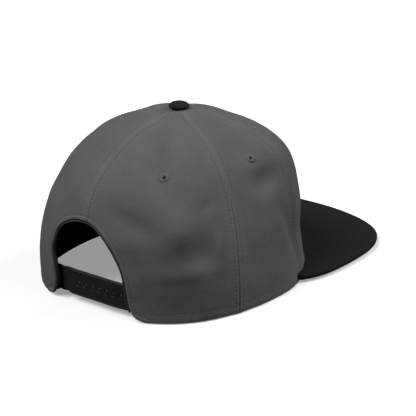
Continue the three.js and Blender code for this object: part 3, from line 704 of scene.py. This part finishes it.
def spread_over(length, zone_steps, middle_count, both=True):
    """Places from 0 to 1 over a length, close together near one end or both."""
    scale = min(1.0, length * (0.25 if both else 0.4) / zone_steps[-1])
    zone = zone_steps * scale / length
    if both:
        middle = np.linspace(zone[-1], 1 - zone[-1], middle_count + 2)[1:-1]
        return np.concatenate([zone, middle, 1 - zone[::-1]])
    return np.concatenate([zone, np.linspace(zone[-1], 1, middle_count + 1)[1:]])


def crown_heights():
    """Sections of a plain panel's rows: close at the hem, then evenly along the profile."""
    hem_steps = np.concatenate([EDGE_STEPS, [6.6 * MM, 7.5 * MM]])
    start = section_at(hem_steps)
    lengths = run_lengths(base_skin(90, fine_sections))
    low = np.interp(start[-1], fine_sections, lengths)
    high = np.interp(TOP_SECTION, fine_sections, lengths)
    count = int((high - low) / MIDDLE_STEP)
    even = np.interp(np.linspace(low, high, count + 1)[1:], lengths, fine_sections)
    return np.concatenate([start, even])


def panel_grid(near, far, columns):
    """Azimuths and sections of a grid from two boundaries, each an azimuth and a section row."""
    azimuths, sections = [], []
    for i in range(len(near[0])):
        ends = base_skin(np.array([near[0][i], far[0][i]]), np.array([near[1][i], far[1][i]]))
        width = max(np.linalg.norm(ends[1] - ends[0]), 1 * MM)
        share = spread_over(width, EDGE_STEPS, columns)
        azimuths.append(near[0][i] + (far[0][i] - near[0][i]) * share)
        sections.append(near[1][i] + (far[1][i] - near[1][i]) * share)
    return np.array(azimuths), np.array(sections)


def back_boundaries(sign):
    rows = np.linspace(0, len(ARCH_EDGE) - 1, 6 * (len(ARCH_EDGE) - 1) + 1)
    near_azimuth, near_section = arch_edge(rows, sign)
    far_section = section_at(np.maximum(arch_seam(rows), 0) * ARCH_HEIGHT)
    near_section[0] = far_section[0] = 0
    start = near_section[-1]
    lengths = run_lengths(base_skin(20, fine_sections))
    low, high = np.interp([start, TOP_SECTION], fine_sections, lengths)
    share = spread_over(high - low, EDGE_STEPS, int((high - low) / MIDDLE_STEP), both=False)[1:]
    above = np.interp(low + (high - low) * share, lengths, fine_sections)
    shift = (far_section[-1] - start) * (1 - (above - start) / (TOP_SECTION - start))
    near_azimuth = np.concatenate([near_azimuth, np.zeros(len(above))])
    near_section = np.concatenate([near_section, above])
    far_section = np.concatenate([far_section, above + shift])
    return (near_azimuth, near_section), (sign * rear_seam(far_section), far_section)


def plain_boundaries(panel, sign):
    rows = crown_heights()
    if panel == "side":
        return (sign * rear_seam(rows), rows), (sign * front_seam(rows), rows)
    return (sign * front_seam(rows), rows), (np.full(len(rows), sign * 180.0), rows)


def cloth_uv(azimuths, sections):
    """Places on the cloth in metres: across from the panel's middle and up from the hem."""
    points = base_skin(azimuths, sections)
    steps = np.linalg.norm(np.diff(points, axis=1), axis=2)
    across = np.concatenate([np.zeros((len(points), 1)), np.cumsum(steps, axis=1)], axis=1)
    across -= across[:, [across.shape[1] // 2]]
    up = run_lengths(points[:, points.shape[1] // 2])
    return np.stack([across, np.broadcast_to(up[:, None], across.shape)], -1)


EYELET_CUT = 1.7 * MM

for tag, sign in SIDES:
    for panel in ("back", "side", "front"):
        near, far = back_boundaries(sign) if panel == "back" else plain_boundaries(panel, sign)
        azimuths, sections = panel_grid(near, far, 46 if panel == "side" else 56)
        outer = cloth(azimuths, sections)
        inner = lining(azimuths, sections, PANEL_THICKNESS)
        centres = (outer[1:, 1:] + outer[:-1, :-1]) / 2
        hole = np.linalg.norm(centres - eyelet_points[f"{panel}_{tag}"], axis=-1) < EYELET_CUT
        points, faces, marks = shell(outer, inner, hole)
        uv = cloth_uv(azimuths, sections).reshape(-1, 2)
        # Painted highlight along the raised seams and the arch edge, stored on the mesh as a share of paler
        # colour
        painted_highlight = painted_highlight_share(outer).ravel()
        piece = mesh_piece(f"cloth_{panel}_{tag}", points, faces, marks, np.concatenate([uv, uv]),
                           painted_highlight=np.concatenate([painted_highlight, painted_highlight]))
        finish_piece(piece, "crown_fabric", crown_cloth, crown_lining, replaces=[f"panel_{panel}_{tag}"])

# Stitch rows of the crown: both sides of every seam, above the hem and round the arch

HEM_ROW_START = 26.5
HEM_ROW_POINTS = 260
crown_stitches = []


def beside(name, offset):
    """A line beside a seam at an offset in millimetres."""
    azimuth, section = SEAM_LINES[name]
    keep = (section < TOP_SECTION - 0.35) & (CROWN_HEIGHT * height_share(section) > 0.4 * MM)
    azimuth, section = azimuth[keep], section[keep]
    radius = np.hypot(*(base_skin(azimuth, section) - [0, APEX_Y, 0])[:, :2].T)
    return azimuth + np.degrees(offset * MM / radius), section


for name in SEAM_LINES:
    for offset in (-SEAM_STITCH, SEAM_STITCH):
        crown_stitches += stitch_row(*cloth_line(*beside(name, offset)))

hem_section = float(section_at(HEM_STITCH * MM))
hem_azimuths = np.linspace(HEM_ROW_START, 360 - HEM_ROW_START, HEM_ROW_POINTS)
crown_stitches += stitch_row(*cloth_line(hem_azimuths, np.full(HEM_ROW_POINTS, hem_section)))


ARCH_CENTRE_HEIGHT = 25 * MM


def away_from_opening(points, normals):
    """Directions in the cloth, at points of the arch edge, that lead away from the opening."""
    away = unit(np.cross(normals, unit(np.gradient(points, axis=0))))
    centre = np.array([0, points[:, 1].mean(), ARCH_CENTRE_HEIGHT])
    return away * np.sign(((points - centre) * away).sum(1, keepdims=True))


def arch_offset(distance):
    """The arch edge's line moved away from the opening."""
    moved = arch_points + away_from_opening(arch_points, surface_normal(skin, *arch_line)) * distance
    height = np.maximum(moved[:, 2], 0)
    section = section_at(height)
    azimuth = np.degrees(np.arctan2(-moved[:, 0], moved[:, 1] - ORIGIN_Y))
    guess = base_skin(azimuth, section)
    radius = np.maximum(from_axis(guess), 1e-6)
    return azimuth - np.degrees((moved[:, 0] - guess[:, 0]) / radius), section, height


arch_azimuth, arch_section, arch_rise = arch_offset(ARCH_STITCH * MM)
keep = arch_rise > HEM_STITCH * MM
crown_stitches += stitch_row(*cloth_line(arch_azimuth[keep], arch_section[keep]))
finish_piece(joined("crown_stitches", crown_stitches), "crown_thread", crown_thread)

# Eyelets: rings of wrapped thread that follow the cloth

EYELET_HOLE = 0.85
EYELET_OUTER = 3.15
EYELET_WRAPS = 34


def eyelet_ring(azimuth, section, sign):
    centre = base_skin(azimuth, section)
    per_section = np.linalg.norm(base_skin(azimuth, section + 0.1) - centre) / 0.1
    radius = from_axis(centre)
    rim, width = (EYELET_HOLE + EYELET_OUTER) / 2, (EYELET_OUTER - EYELET_HOLE) / 2
    profile = np.array([
        (-1.0, -1.3), (-1.0, -0.1), (-0.8, 0.35), (-0.4, 0.68), (0, 0.74), (0.4, 0.6), (0.8, 0.28),
        (1.0, -0.15), (1.0, -0.9),
    ])
    steps = EYELET_WRAPS * 4
    angle = (2 * math.pi * np.arange(steps) / steps)[:, None]
    out = (rim + width * profile[:, 0]) * MM
    wrapped = 0.08 * np.cos(EYELET_WRAPS * angle) * (profile[:, 1] > 0)
    at_azimuth = sign * (azimuth + np.degrees(out * np.cos(angle) / radius))
    at_section = section + out * np.sin(angle) / per_section
    normals = surface_normal(skin, at_azimuth, at_section)
    loops = skin(at_azimuth, at_section) + normals * ((profile[:, 1] + wrapped) * MM)[..., None]
    return loft(loops, closed_path=True)


for tag, sign in SIDES:
    for panel, (azimuth, section) in EYELETS.items():
        piece = mesh_piece(f"thread_eyelet_{panel}_{tag}", *eyelet_ring(azimuth, section, sign))
        finish_piece(piece, "crown_thread", eyelet_thread, replaces=[f"eyelet_{panel}_{tag}"])

# Button: a cloth-covered dome gathered under its edge

BUTTON_RADIUS = (button_high.x - button_low.x) / 2
BUTTON_TOP = button_high.z
BUTTON_SEAT = CROWN_HEIGHT + 0.3 * MM
BUTTON_RISE = BUTTON_TOP - BUTTON_SEAT


def button_dome():
    profile = [(0.06, 1.0), (0.16, 0.997), (0.3, 0.985), (0.45, 0.95), (0.6, 0.885), (0.74, 0.79),
               (0.86, 0.65), (0.95, 0.47), (0.995, 0.28), (0.985, 0.12), (0.93, 0.02), (0.8, -0.03),
               (0.37, -0.05), (0.36, -0.7)]
    loops = []
    for out, up in profile:
        ring = []
        for step in range(96):
            angle = 2 * math.pi * step / 96
            gather = 0.012 * math.sin(13 * angle + 1.3) + 0.008 * math.sin(23 * angle + 4)
            swell = 1 + gather * np.clip((out - 0.5) * 2, 0, 1) * (0.37 < out)
            r = BUTTON_RADIUS * out * swell
            z = BUTTON_SEAT + BUTTON_RISE * up
            ring.append((r * math.cos(angle), APEX_Y + r * math.sin(angle), z))
        loops.append(ring)
    return loft(loops)


finish_piece(mesh_piece("cloth_button", *button_dome()), "button_fabric", button_cloth, replaces=["button"])

# Brim

BRIM_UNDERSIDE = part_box("brim")[0].z
BRIM_THICKNESS = 3.2 * MM
BRIM_ROOT_AZIMUTH = 113
BRIM_ROW_PITCH = 6.2 * MM
BRIM_ROW_INSET = 4.2 * MM
BRIM_ROWS = 11
BRIM_CAMBER = 0.2 * MM
# The cloth's own level under the board's top, which its relief and threads stand on
BRIM_CLOTH_DROP = 0.2 * MM


def brim_outline(count):
    """Rim points from the right root end round the front to the left, evenly spaced."""
    half = [(-across * BRIM_HALF_WIDTH, ORIGIN_Y - forward * BRIM_FRONT_EXTENT)
            for forward, across in BRIM_EDGE]
    edge = np.array(half + [(-x, y) for x, y in half[-2::-1]])
    knots = np.concatenate([[0], np.cumsum(np.sqrt(np.linalg.norm(np.diff(edge, axis=0), axis=1)))])
    fine_knots = np.linspace(0, knots[-1], 2000)
    curve = np.stack([spline(knots, column)(fine_knots) for column in edge.T], -1)
    lengths = run_lengths(curve)
    even = np.linspace(0, lengths[-1], count)
    return np.stack([np.interp(even, lengths, column) for column in curve.T], -1)


BRIM_COLUMNS = 220
brim_rim = brim_outline(BRIM_COLUMNS)
root_azimuths = np.linspace(BRIM_ROOT_AZIMUTH, 360 - BRIM_ROOT_AZIMUTH, BRIM_COLUMNS)
brim_middle = BRIM_UNDERSIDE + BRIM_THICKNESS / 2
root_section = np.full(BRIM_COLUMNS, float(section_at(brim_middle)))
root_line = skin(root_azimuths, root_section)[:, :2]
rim_line = np.concatenate([brim_rim, np.zeros((BRIM_COLUMNS, 1))], axis=1)


def brim_lift(points):
    """Quilted rows parallel to the rim, in metres above the flat board."""
    flat = points.copy()
    flat[..., 2] = 0
    rim = distance_to(flat, rim_line)
    row = (rim - BRIM_ROW_INSET + BRIM_ROW_PITCH / 2) % BRIM_ROW_PITCH
    row = np.abs(row - BRIM_ROW_PITCH / 2)
    groove = np.exp(-((row / (0.6 * MM)) ** 2)) * (rim > 2 * MM)
    wander = ripple(flat, 30 * MM, 7.7)
    swell = np.sin(np.clip(row / BRIM_ROW_PITCH, 0, 0.5) * math.pi)
    return (0.1 + 0.1 * wander - 0.06 * groove + 0.03 * swell) * MM


def brim_camber(x):
    return BRIM_CAMBER * (1 - (x / BRIM_HALF_WIDTH) ** 2)


def brim_mesh():
    edge_round = BRIM_THICKNESS / 2
    shares = np.linspace(0, 1, 110)
    inward = np.concatenate([root_line - brim_rim, np.zeros((BRIM_COLUMNS, 1))], axis=1)
    reach = np.linalg.norm(inward, axis=1, keepdims=True)
    inward /= reach
    start = rim_line + inward * edge_round
    camber = brim_camber(brim_rim[:, 0])
    loops = []
    top = np.array([start + inward * (reach - edge_round + 0.6 * MM) * share for share in shares[::-1]])
    top_lift = brim_lift(top)
    for row, lift in zip(top, top_lift):
        height = brim_middle + BRIM_THICKNESS / 2 + lift - BRIM_CLOTH_DROP + camber
        loops.append(np.column_stack([row[:, :2], height]))
    for angle in np.radians([60, 35, 12, -12, -35, -60]):
        row = start - inward * edge_round * math.cos(angle)
        row[:, 2] = brim_middle + math.sin(angle) * BRIM_THICKNESS / 2 + camber
        loops.append(row)
    for row, lift in zip(top[::-1], top_lift[::-1]):
        height = brim_middle - BRIM_THICKNESS / 2 - lift * 0.5 + 0.1 * MM + camber
        loops.append(np.column_stack([row[:, :2], height]))
    return np.array(loops).transpose(1, 0, 2)


points, faces = loft(brim_mesh())
brim = mesh_piece("cloth_brim", points, faces, uv=points[:, :2])
finish_piece(brim, "brim_fabric", brim_cloth, replaces=["brim"])


def brim_row(distance):
    """A line on the brim at a distance inside the rim, as far as the crown allows."""
    along = unit(np.gradient(rim_line, axis=0))
    inward = np.stack([along[:, 1], -along[:, 0], np.zeros(BRIM_COLUMNS)], -1)
    centre = np.array([0, root_line[:, 1].min(), 0])
    inward *= np.sign(((centre - rim_line) * inward).sum(1, keepdims=True))
    moved = rim_line + inward * distance
    azimuth = np.degrees(np.arctan2(-moved[:, 0], moved[:, 1] - ORIGIN_Y))
    crown = skin(azimuth, np.full(BRIM_COLUMNS, root_section[0]))
    clear = from_axis(moved) - from_axis(crown)
    near = distance_to(moved, rim_line)
    return moved[(clear > 2 * MM) & (near > distance - 0.3 * MM)]


brim_stitches = []
for row in range(BRIM_ROWS):
    line = brim_row(BRIM_ROW_INSET + row * BRIM_ROW_PITCH)
    if len(line) < 12:
        continue
    line[:, 2] = brim_middle + BRIM_THICKNESS / 2 + brim_lift(line) - BRIM_CLOTH_DROP
    line[:, 2] += brim_camber(line[:, 0])
    upward = np.tile([0.0, 0.0, 1.0], (len(line), 1))
    brim_stitches += stitch_row(line, upward, pitch=3.2 * MM, length=2.4 * MM, radius=0.16 * MM)
finish_piece(joined("brim_stitches", brim_stitches), "brim_fabric", brim_thread)

# Sweatband

BAND_THICKNESS = 1.2 * MM
BAND_INSET = PANEL_THICKNESS + 0.7 * MM
BAND_BOTTOM = 2.2 * MM
BAND_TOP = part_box("sweatband")[1].z
BAND_START = 29.5


def band_mesh():
    azimuths = np.linspace(BAND_START, 360 - BAND_START, 240)
    heights = np.linspace(BAND_BOTTOM, BAND_TOP, 26)
    grid_azimuth, grid_height = np.meshgrid(azimuths, heights)
    sections = section_at(grid_height)
    base = skin(grid_azimuth, sections)
    normal = surface_normal(skin, grid_azimuth, sections)
    top = BAND_TOP - grid_height
    bottom = grid_height - BAND_BOTTOM
    edge = np.minimum(top, bottom)
    fall = rolled(edge, BAND_THICKNESS / 2 - 0.02 * MM)
    wave = 0.25 * ripple(base, 14 * MM, 2.2) - 0.22 * bell(top, 3.5, 0.6) - 0.22 * bell(top, 6.5, 0.6)
    front = base - normal * (BAND_INSET + fall)[..., None]
    back = base - normal * (BAND_INSET + BAND_THICKNESS - fall + wave * MM)[..., None]
    return shell(front, back)


sweatband = mesh_piece("cloth_sweatband", *band_mesh()[:2])
finish_piece(sweatband, "band_fabric", band_cloth, replaces=["sweatband"])

# Binding tape along the arch edge

TAPE_THICKNESS = 1 * MM
TAPE_WIDTH = 9 * MM
TAPE_GAP = 0.5 * MM
TAPE_LIP = 1.1 * MM
TAPE_START_HEIGHT = 6 * MM
LAYER_GAP = 0.3 * MM


def tape_mesh():
    """A folded lip over the cut edge and a flat leg inside it, with rounded corners."""
    azimuth, section = arch_line
    keep = arch_points[:, 2] >= TAPE_START_HEIGHT
    azimuth, section = azimuth[keep], section[keep]
    points = skin(azimuth, section)
    normals = surface_normal(skin, azimuth, section)
    away = away_from_opening(points, normals)
    inside = PANEL_THICKNESS + TAPE_GAP
    outside_lip = -LAYER_GAP - TAPE_LIP
    deep = inside + TAPE_THICKNESS
    turn = 0.45 * MM
    profile = [(-LAYER_GAP, inside), (-LAYER_GAP, LAYER_GAP + turn), (-LAYER_GAP - turn, LAYER_GAP),
               (outside_lip + turn, LAYER_GAP), (outside_lip + turn * 0.3, LAYER_GAP + turn * 0.3),
               (outside_lip, LAYER_GAP + turn), (outside_lip, deep - turn * 1.4),
               (outside_lip + turn * 0.4, deep - turn * 0.4), (outside_lip + turn * 1.4, deep),
               (TAPE_WIDTH - turn, deep), (TAPE_WIDTH, deep - turn), (TAPE_WIDTH, inside + turn * 0.5),
               (TAPE_WIDTH - turn, inside)]
    loops = []
    for point, normal, direction in zip(points, normals, away):
        loops.append([point + direction * offset - normal * inset for offset, inset in profile])
    return loft(loops)


finish_piece(mesh_piece("cloth_arch_tape", *tape_mesh()), "band_fabric", tape_cloth, replaces=["arch_tape"])

# Snap strap

STRAP_HEIGHT = 17 * MM
STRAP_BOTTOM = 5 * MM
STRAP_THICKNESS = 1.2 * MM
STRAP_TAB_AZIMUTH = 27
STRAP_TAB_HEIGHT = 14 * MM
STRAP_DRAWN_IN = 4 * MM
STRAP_END_MARGIN = 11 * MM
STRAP_CORNER_RADIUS = 4 * MM
PEG_COUNT = 7
PEG_PITCH = 6.4 * MM
FIRST_PEG_ARC = -14 * MM
PEG_RADIUS = 1.5 * MM
PEG_HOLE_RADIUS = 1.65 * MM
PEG_PROUD = 0.1 * MM
OUTER_INSET = PANEL_THICKNESS + TAPE_GAP + TAPE_THICKNESS + LAYER_GAP
INNER_INSET = OUTER_INSET + STRAP_THICKNESS + LAYER_GAP
HEM_RADIUS_BACK = HEAD_RADIUS * float(hem_share(0))
TAB_ARC = math.radians(STRAP_TAB_AZIMUTH) * HEM_RADIUS_BACK
OUTER_END_ARC = STRAP_END_MARGIN - FIRST_PEG_ARC
INNER_END_ARC = FIRST_PEG_ARC + PEG_PITCH * (PEG_COUNT - 1) + STRAP_END_MARGIN
STRAP_MIDDLE = STRAP_BOTTOM + STRAP_HEIGHT / 2
PEG_ARCS = [FIRST_PEG_ARC + PEG_PITCH * i for i in range(PEG_COUNT)]


def strap_place(arc, height, inset):
    """Points of the strap from the arc along it, the height and the inset from the crown's skin."""
    azimuth = np.degrees(np.asarray(arc, float) / HEM_RADIUS_BACK)
    section = np.zeros_like(azimuth)
    point = base_skin(azimuth, section)
    along = unit(base_skin(azimuth + 1, section) - base_skin(azimuth - 1, section))
    outward = np.stack([along[..., 1], -along[..., 0], np.zeros_like(azimuth)], -1)
    outward *= np.sign(outward[..., 1:2])
    share = np.clip(azimuth / STRAP_TAB_AZIMUTH, -1, 1)
    drawn_in = STRAP_DRAWN_IN * np.cos(share * math.pi / 2) ** 2
    moved = point - outward * (np.asarray(inset, float) + drawn_in)[..., None]
    moved[..., 2] = height
    return moved


def strip_half(arc, end):
    """Half height of a strap at an arc: a narrow tab at its start and rounded corners at its end."""
    corner = np.clip(STRAP_CORNER_RADIUS - (end - arc), 0, STRAP_CORNER_RADIUS)
    half = STRAP_HEIGHT / 2 - STRAP_CORNER_RADIUS + np.sqrt(STRAP_CORNER_RADIUS ** 2 - corner ** 2)
    tab = smooth_step(arc, -TAB_ARC, -TAB_ARC + STRAP_HEIGHT / 2)
    return np.minimum(half, STRAP_TAB_HEIGHT / 2 + (STRAP_HEIGHT - STRAP_TAB_HEIGHT) / 2 * tab)


def flat_strip(end, rib):
    """Strap laid flat: x along the arc, y across from its middle, z outward; ribbed borders if asked."""
    round_end = 0.85 + 0.15 * np.sin(np.linspace(0, math.pi / 2, 26)[1:])
    ease = np.concatenate([np.linspace(0, 0.85, 70), round_end])
    arc = -TAB_ARC + (end + TAB_ARC) * ease
    half = strip_half(arc, end)
    border = 1.5 * MM
    upper = [0.2, 0.5, 0.8, 0.83, 0.86, 0.9, 0.95, 0.985, 1]
    shares = np.array([-share for share in upper[::-1]] + upper)
    across = half[:, None] * shares[None]
    arcs = np.broadcast_to(arc[:, None], across.shape)
    edge = np.minimum(half[:, None] - np.abs(across), np.maximum(end - arcs, 0))
    raise_by = 0.15 * MM * (1 - smooth_step(edge, border * 0.7, border)) if rib else np.zeros_like(edge)
    soften = 0.3 * MM * np.clip(1 - edge / (0.3 * MM), 0, 1) ** 2
    outer = np.stack([arcs, across, raise_by - soften], -1)
    inner = np.stack([arcs, across, np.full(across.shape, -STRAP_THICKNESS) + soften], -1)
    return shell(outer, inner)[:2]


def cut_holes(points, faces, arcs, radius):
    """The flat strap with round holes through it."""
    strip = mesh_piece("strip_flat", points, faces)
    cutters = []
    for arc in arcs:
        turns = np.linspace(0, 2 * math.pi, 33)[:-1]
        ring = np.stack([arc + radius * np.cos(turns), radius * np.sin(turns)], -1)
        low = np.concatenate([ring, np.full((32, 1), -3 * MM)], axis=1)
        high = np.concatenate([ring, np.full((32, 1), 3 * MM)], axis=1)
        cutters.append(loft([low, high]))
    cutter = joined("strip_cutter", cutters)
    cut = strip.modifiers.new("holes", "BOOLEAN")
    cut.object, cut.operation, cut.solver = cutter, "DIFFERENCE", "EXACT"
    bpy.context.view_layer.update()
    result = bpy.data.meshes.new_from_object(strip.evaluated_get(bpy.context.evaluated_depsgraph_get()))
    new_points = np.array([v.co[:] for v in result.vertices])
    new_faces = [tuple(p.vertices) for p in result.polygons]
    for piece in (strip, cutter):
        mesh = piece.data
        bpy.data.objects.remove(piece)
        bpy.data.meshes.remove(mesh)
    bpy.data.meshes.remove(result)
    return new_points, new_faces


def bent(points, faces, direction, inset_at):
    """A flat strap bent round the back of the cap."""
    arc = direction * points[:, 0]
    placed = strap_place(arc, STRAP_MIDDLE + points[:, 1], inset_at(points[:, 0]) - points[:, 2])
    return placed, facing_out(placed, faces)


def outer_inset(arc):
    return np.full(np.shape(arc), OUTER_INSET)


def inner_inset(arc):
    """The inner strap steps inward where the outer strap begins to cover it."""
    step_end = -OUTER_END_ARC - LAYER_GAP
    stepped = smooth_step(arc, step_end - STRAP_HEIGHT * 0.3, step_end)
    return OUTER_INSET + (INNER_INSET - OUTER_INSET) * stepped


def peg(arc):
    """A round peg with a domed head, standing out of the inner strap."""
    top = INNER_INSET - OUTER_INSET + PEG_PROUD
    profile = [(1.0, -0.5 * STRAP_THICKNESS), (1.0, top - 0.55 * MM), (0.97, top - 0.32 * MM),
               (0.86, top - 0.13 * MM), (0.62, top - 0.02 * MM), (0.3, top + 0.03 * MM)]
    loops = []
    for share, height in profile:
        turns = np.linspace(0, 2 * math.pi, 25)[:-1]
        at_arc = arc + PEG_RADIUS * share * np.cos(turns)
        across = PEG_RADIUS * share * np.sin(turns)
        loops.append(strap_place(at_arc, STRAP_MIDDLE + across, np.full(24, INNER_INSET) - height))
    return loft(loops)


outer_strip = cut_holes(*flat_strip(OUTER_END_ARC, True), [-arc for arc in PEG_ARCS], PEG_HOLE_RADIUS)
outer_strap = mesh_piece("strap_outer", *bent(*outer_strip, -1, outer_inset))
finish_piece(outer_strap, "strap_plastic", strap_plastic, replaces=["strap_right"])
inner_strip = bent(*flat_strip(INNER_END_ARC, False), 1, inner_inset)
inner_strap = joined("strap_inner", [inner_strip] + [peg(arc) for arc in PEG_ARCS])
finish_piece(inner_strap, "strap_plastic", strap_plastic, replaces=["strap_left"])

# Floor, lights and camera

floor = mesh_piece("floor", [(-9, -9, 0), (9, -9, 0), (9, 9, 0), (-9, 9, 0)], [(0, 1, 2, 3)], smooth=False)
floor.location.z = -0.55 * MM
floor_paint, nodes, links, shader = new_material("pale_floor")
shader.inputs["Base Color"].default_value = colour((0.92, 0.92, 0.92))
shader.inputs["Roughness"].default_value = 0.9
shader.inputs["Specular IOR Level"].default_value = 0.0
shader.inputs["Emission Color"].default_value = colour((1, 1, 1))
shader.inputs["Emission Strength"].default_value = 0.31
floor.data.materials.append(floor_paint)
floor.visible_diffuse = False
floor.visible_glossy = False

scene = bpy.context.scene
world = bpy.data.worlds.new("studio")
world.use_nodes = True
world.node_tree.nodes["Background"].inputs["Color"].default_value = (1, 1, 1, 1)
world.node_tree.nodes["Background"].inputs["Strength"].default_value = 1.0
world.cycles_visibility.diffuse = False
world.cycles_visibility.glossy = False
scene.world = world
scene.view_settings.view_transform = "Standard"
scene.view_settings.look = "None"


def toward(azimuth, elevation):
    """Direction from the cap to a camera or light: azimuth 0 is the front, 90 the left side."""
    a, e = math.radians(azimuth), math.radians(elevation)
    return Vector((math.sin(a) * math.cos(e), -math.cos(a) * math.cos(e), math.sin(e)))


def studio_light(name, azimuth, elevation, spread, strength):
    """Broad distant light."""
    light = bpy.data.objects.new(name, bpy.data.lights.new(name, "SUN"))
    light.data.angle, light.data.energy = math.radians(spread), strength
    light.rotation_euler = toward(azimuth, elevation).to_track_quat("Z", "Y").to_euler()
    scene.collection.objects.link(light)


CAMERA_AZIMUTH = 217.53
CAMERA_ELEVATION = 19.93
CAMERA_DISTANCE = 0.89207
CAMERA_LENS = 120.08
SENSOR_WIDTH = 36
CAMERA_TARGET = Vector((-44.181 * MM, 56.06 * MM, 60 * MM))

studio_light("key", CAMERA_AZIMUTH - 52, 49, 35, 2.43)
studio_light("fill", CAMERA_AZIMUTH + 100, 35, 35, 1.82)
studio_light("side", CAMERA_AZIMUTH + 50, 35, 35, 0.37)
studio_light("rim", CAMERA_AZIMUTH - 105, 35, 35, 0.35)
studio_light("far", CAMERA_AZIMUTH - 175, 12, 60, 0.35)

camera = bpy.data.objects.new("camera", bpy.data.cameras.new("camera"))
camera.data.lens, camera.data.sensor_width = CAMERA_LENS, SENSOR_WIDTH
back = toward(CAMERA_AZIMUTH, CAMERA_ELEVATION)
camera.location = CAMERA_TARGET + back * CAMERA_DISTANCE
camera.rotation_euler = back.to_track_quat("Z", "Y").to_euler()
scene.collection.objects.link(camera)
scene.camera = camera
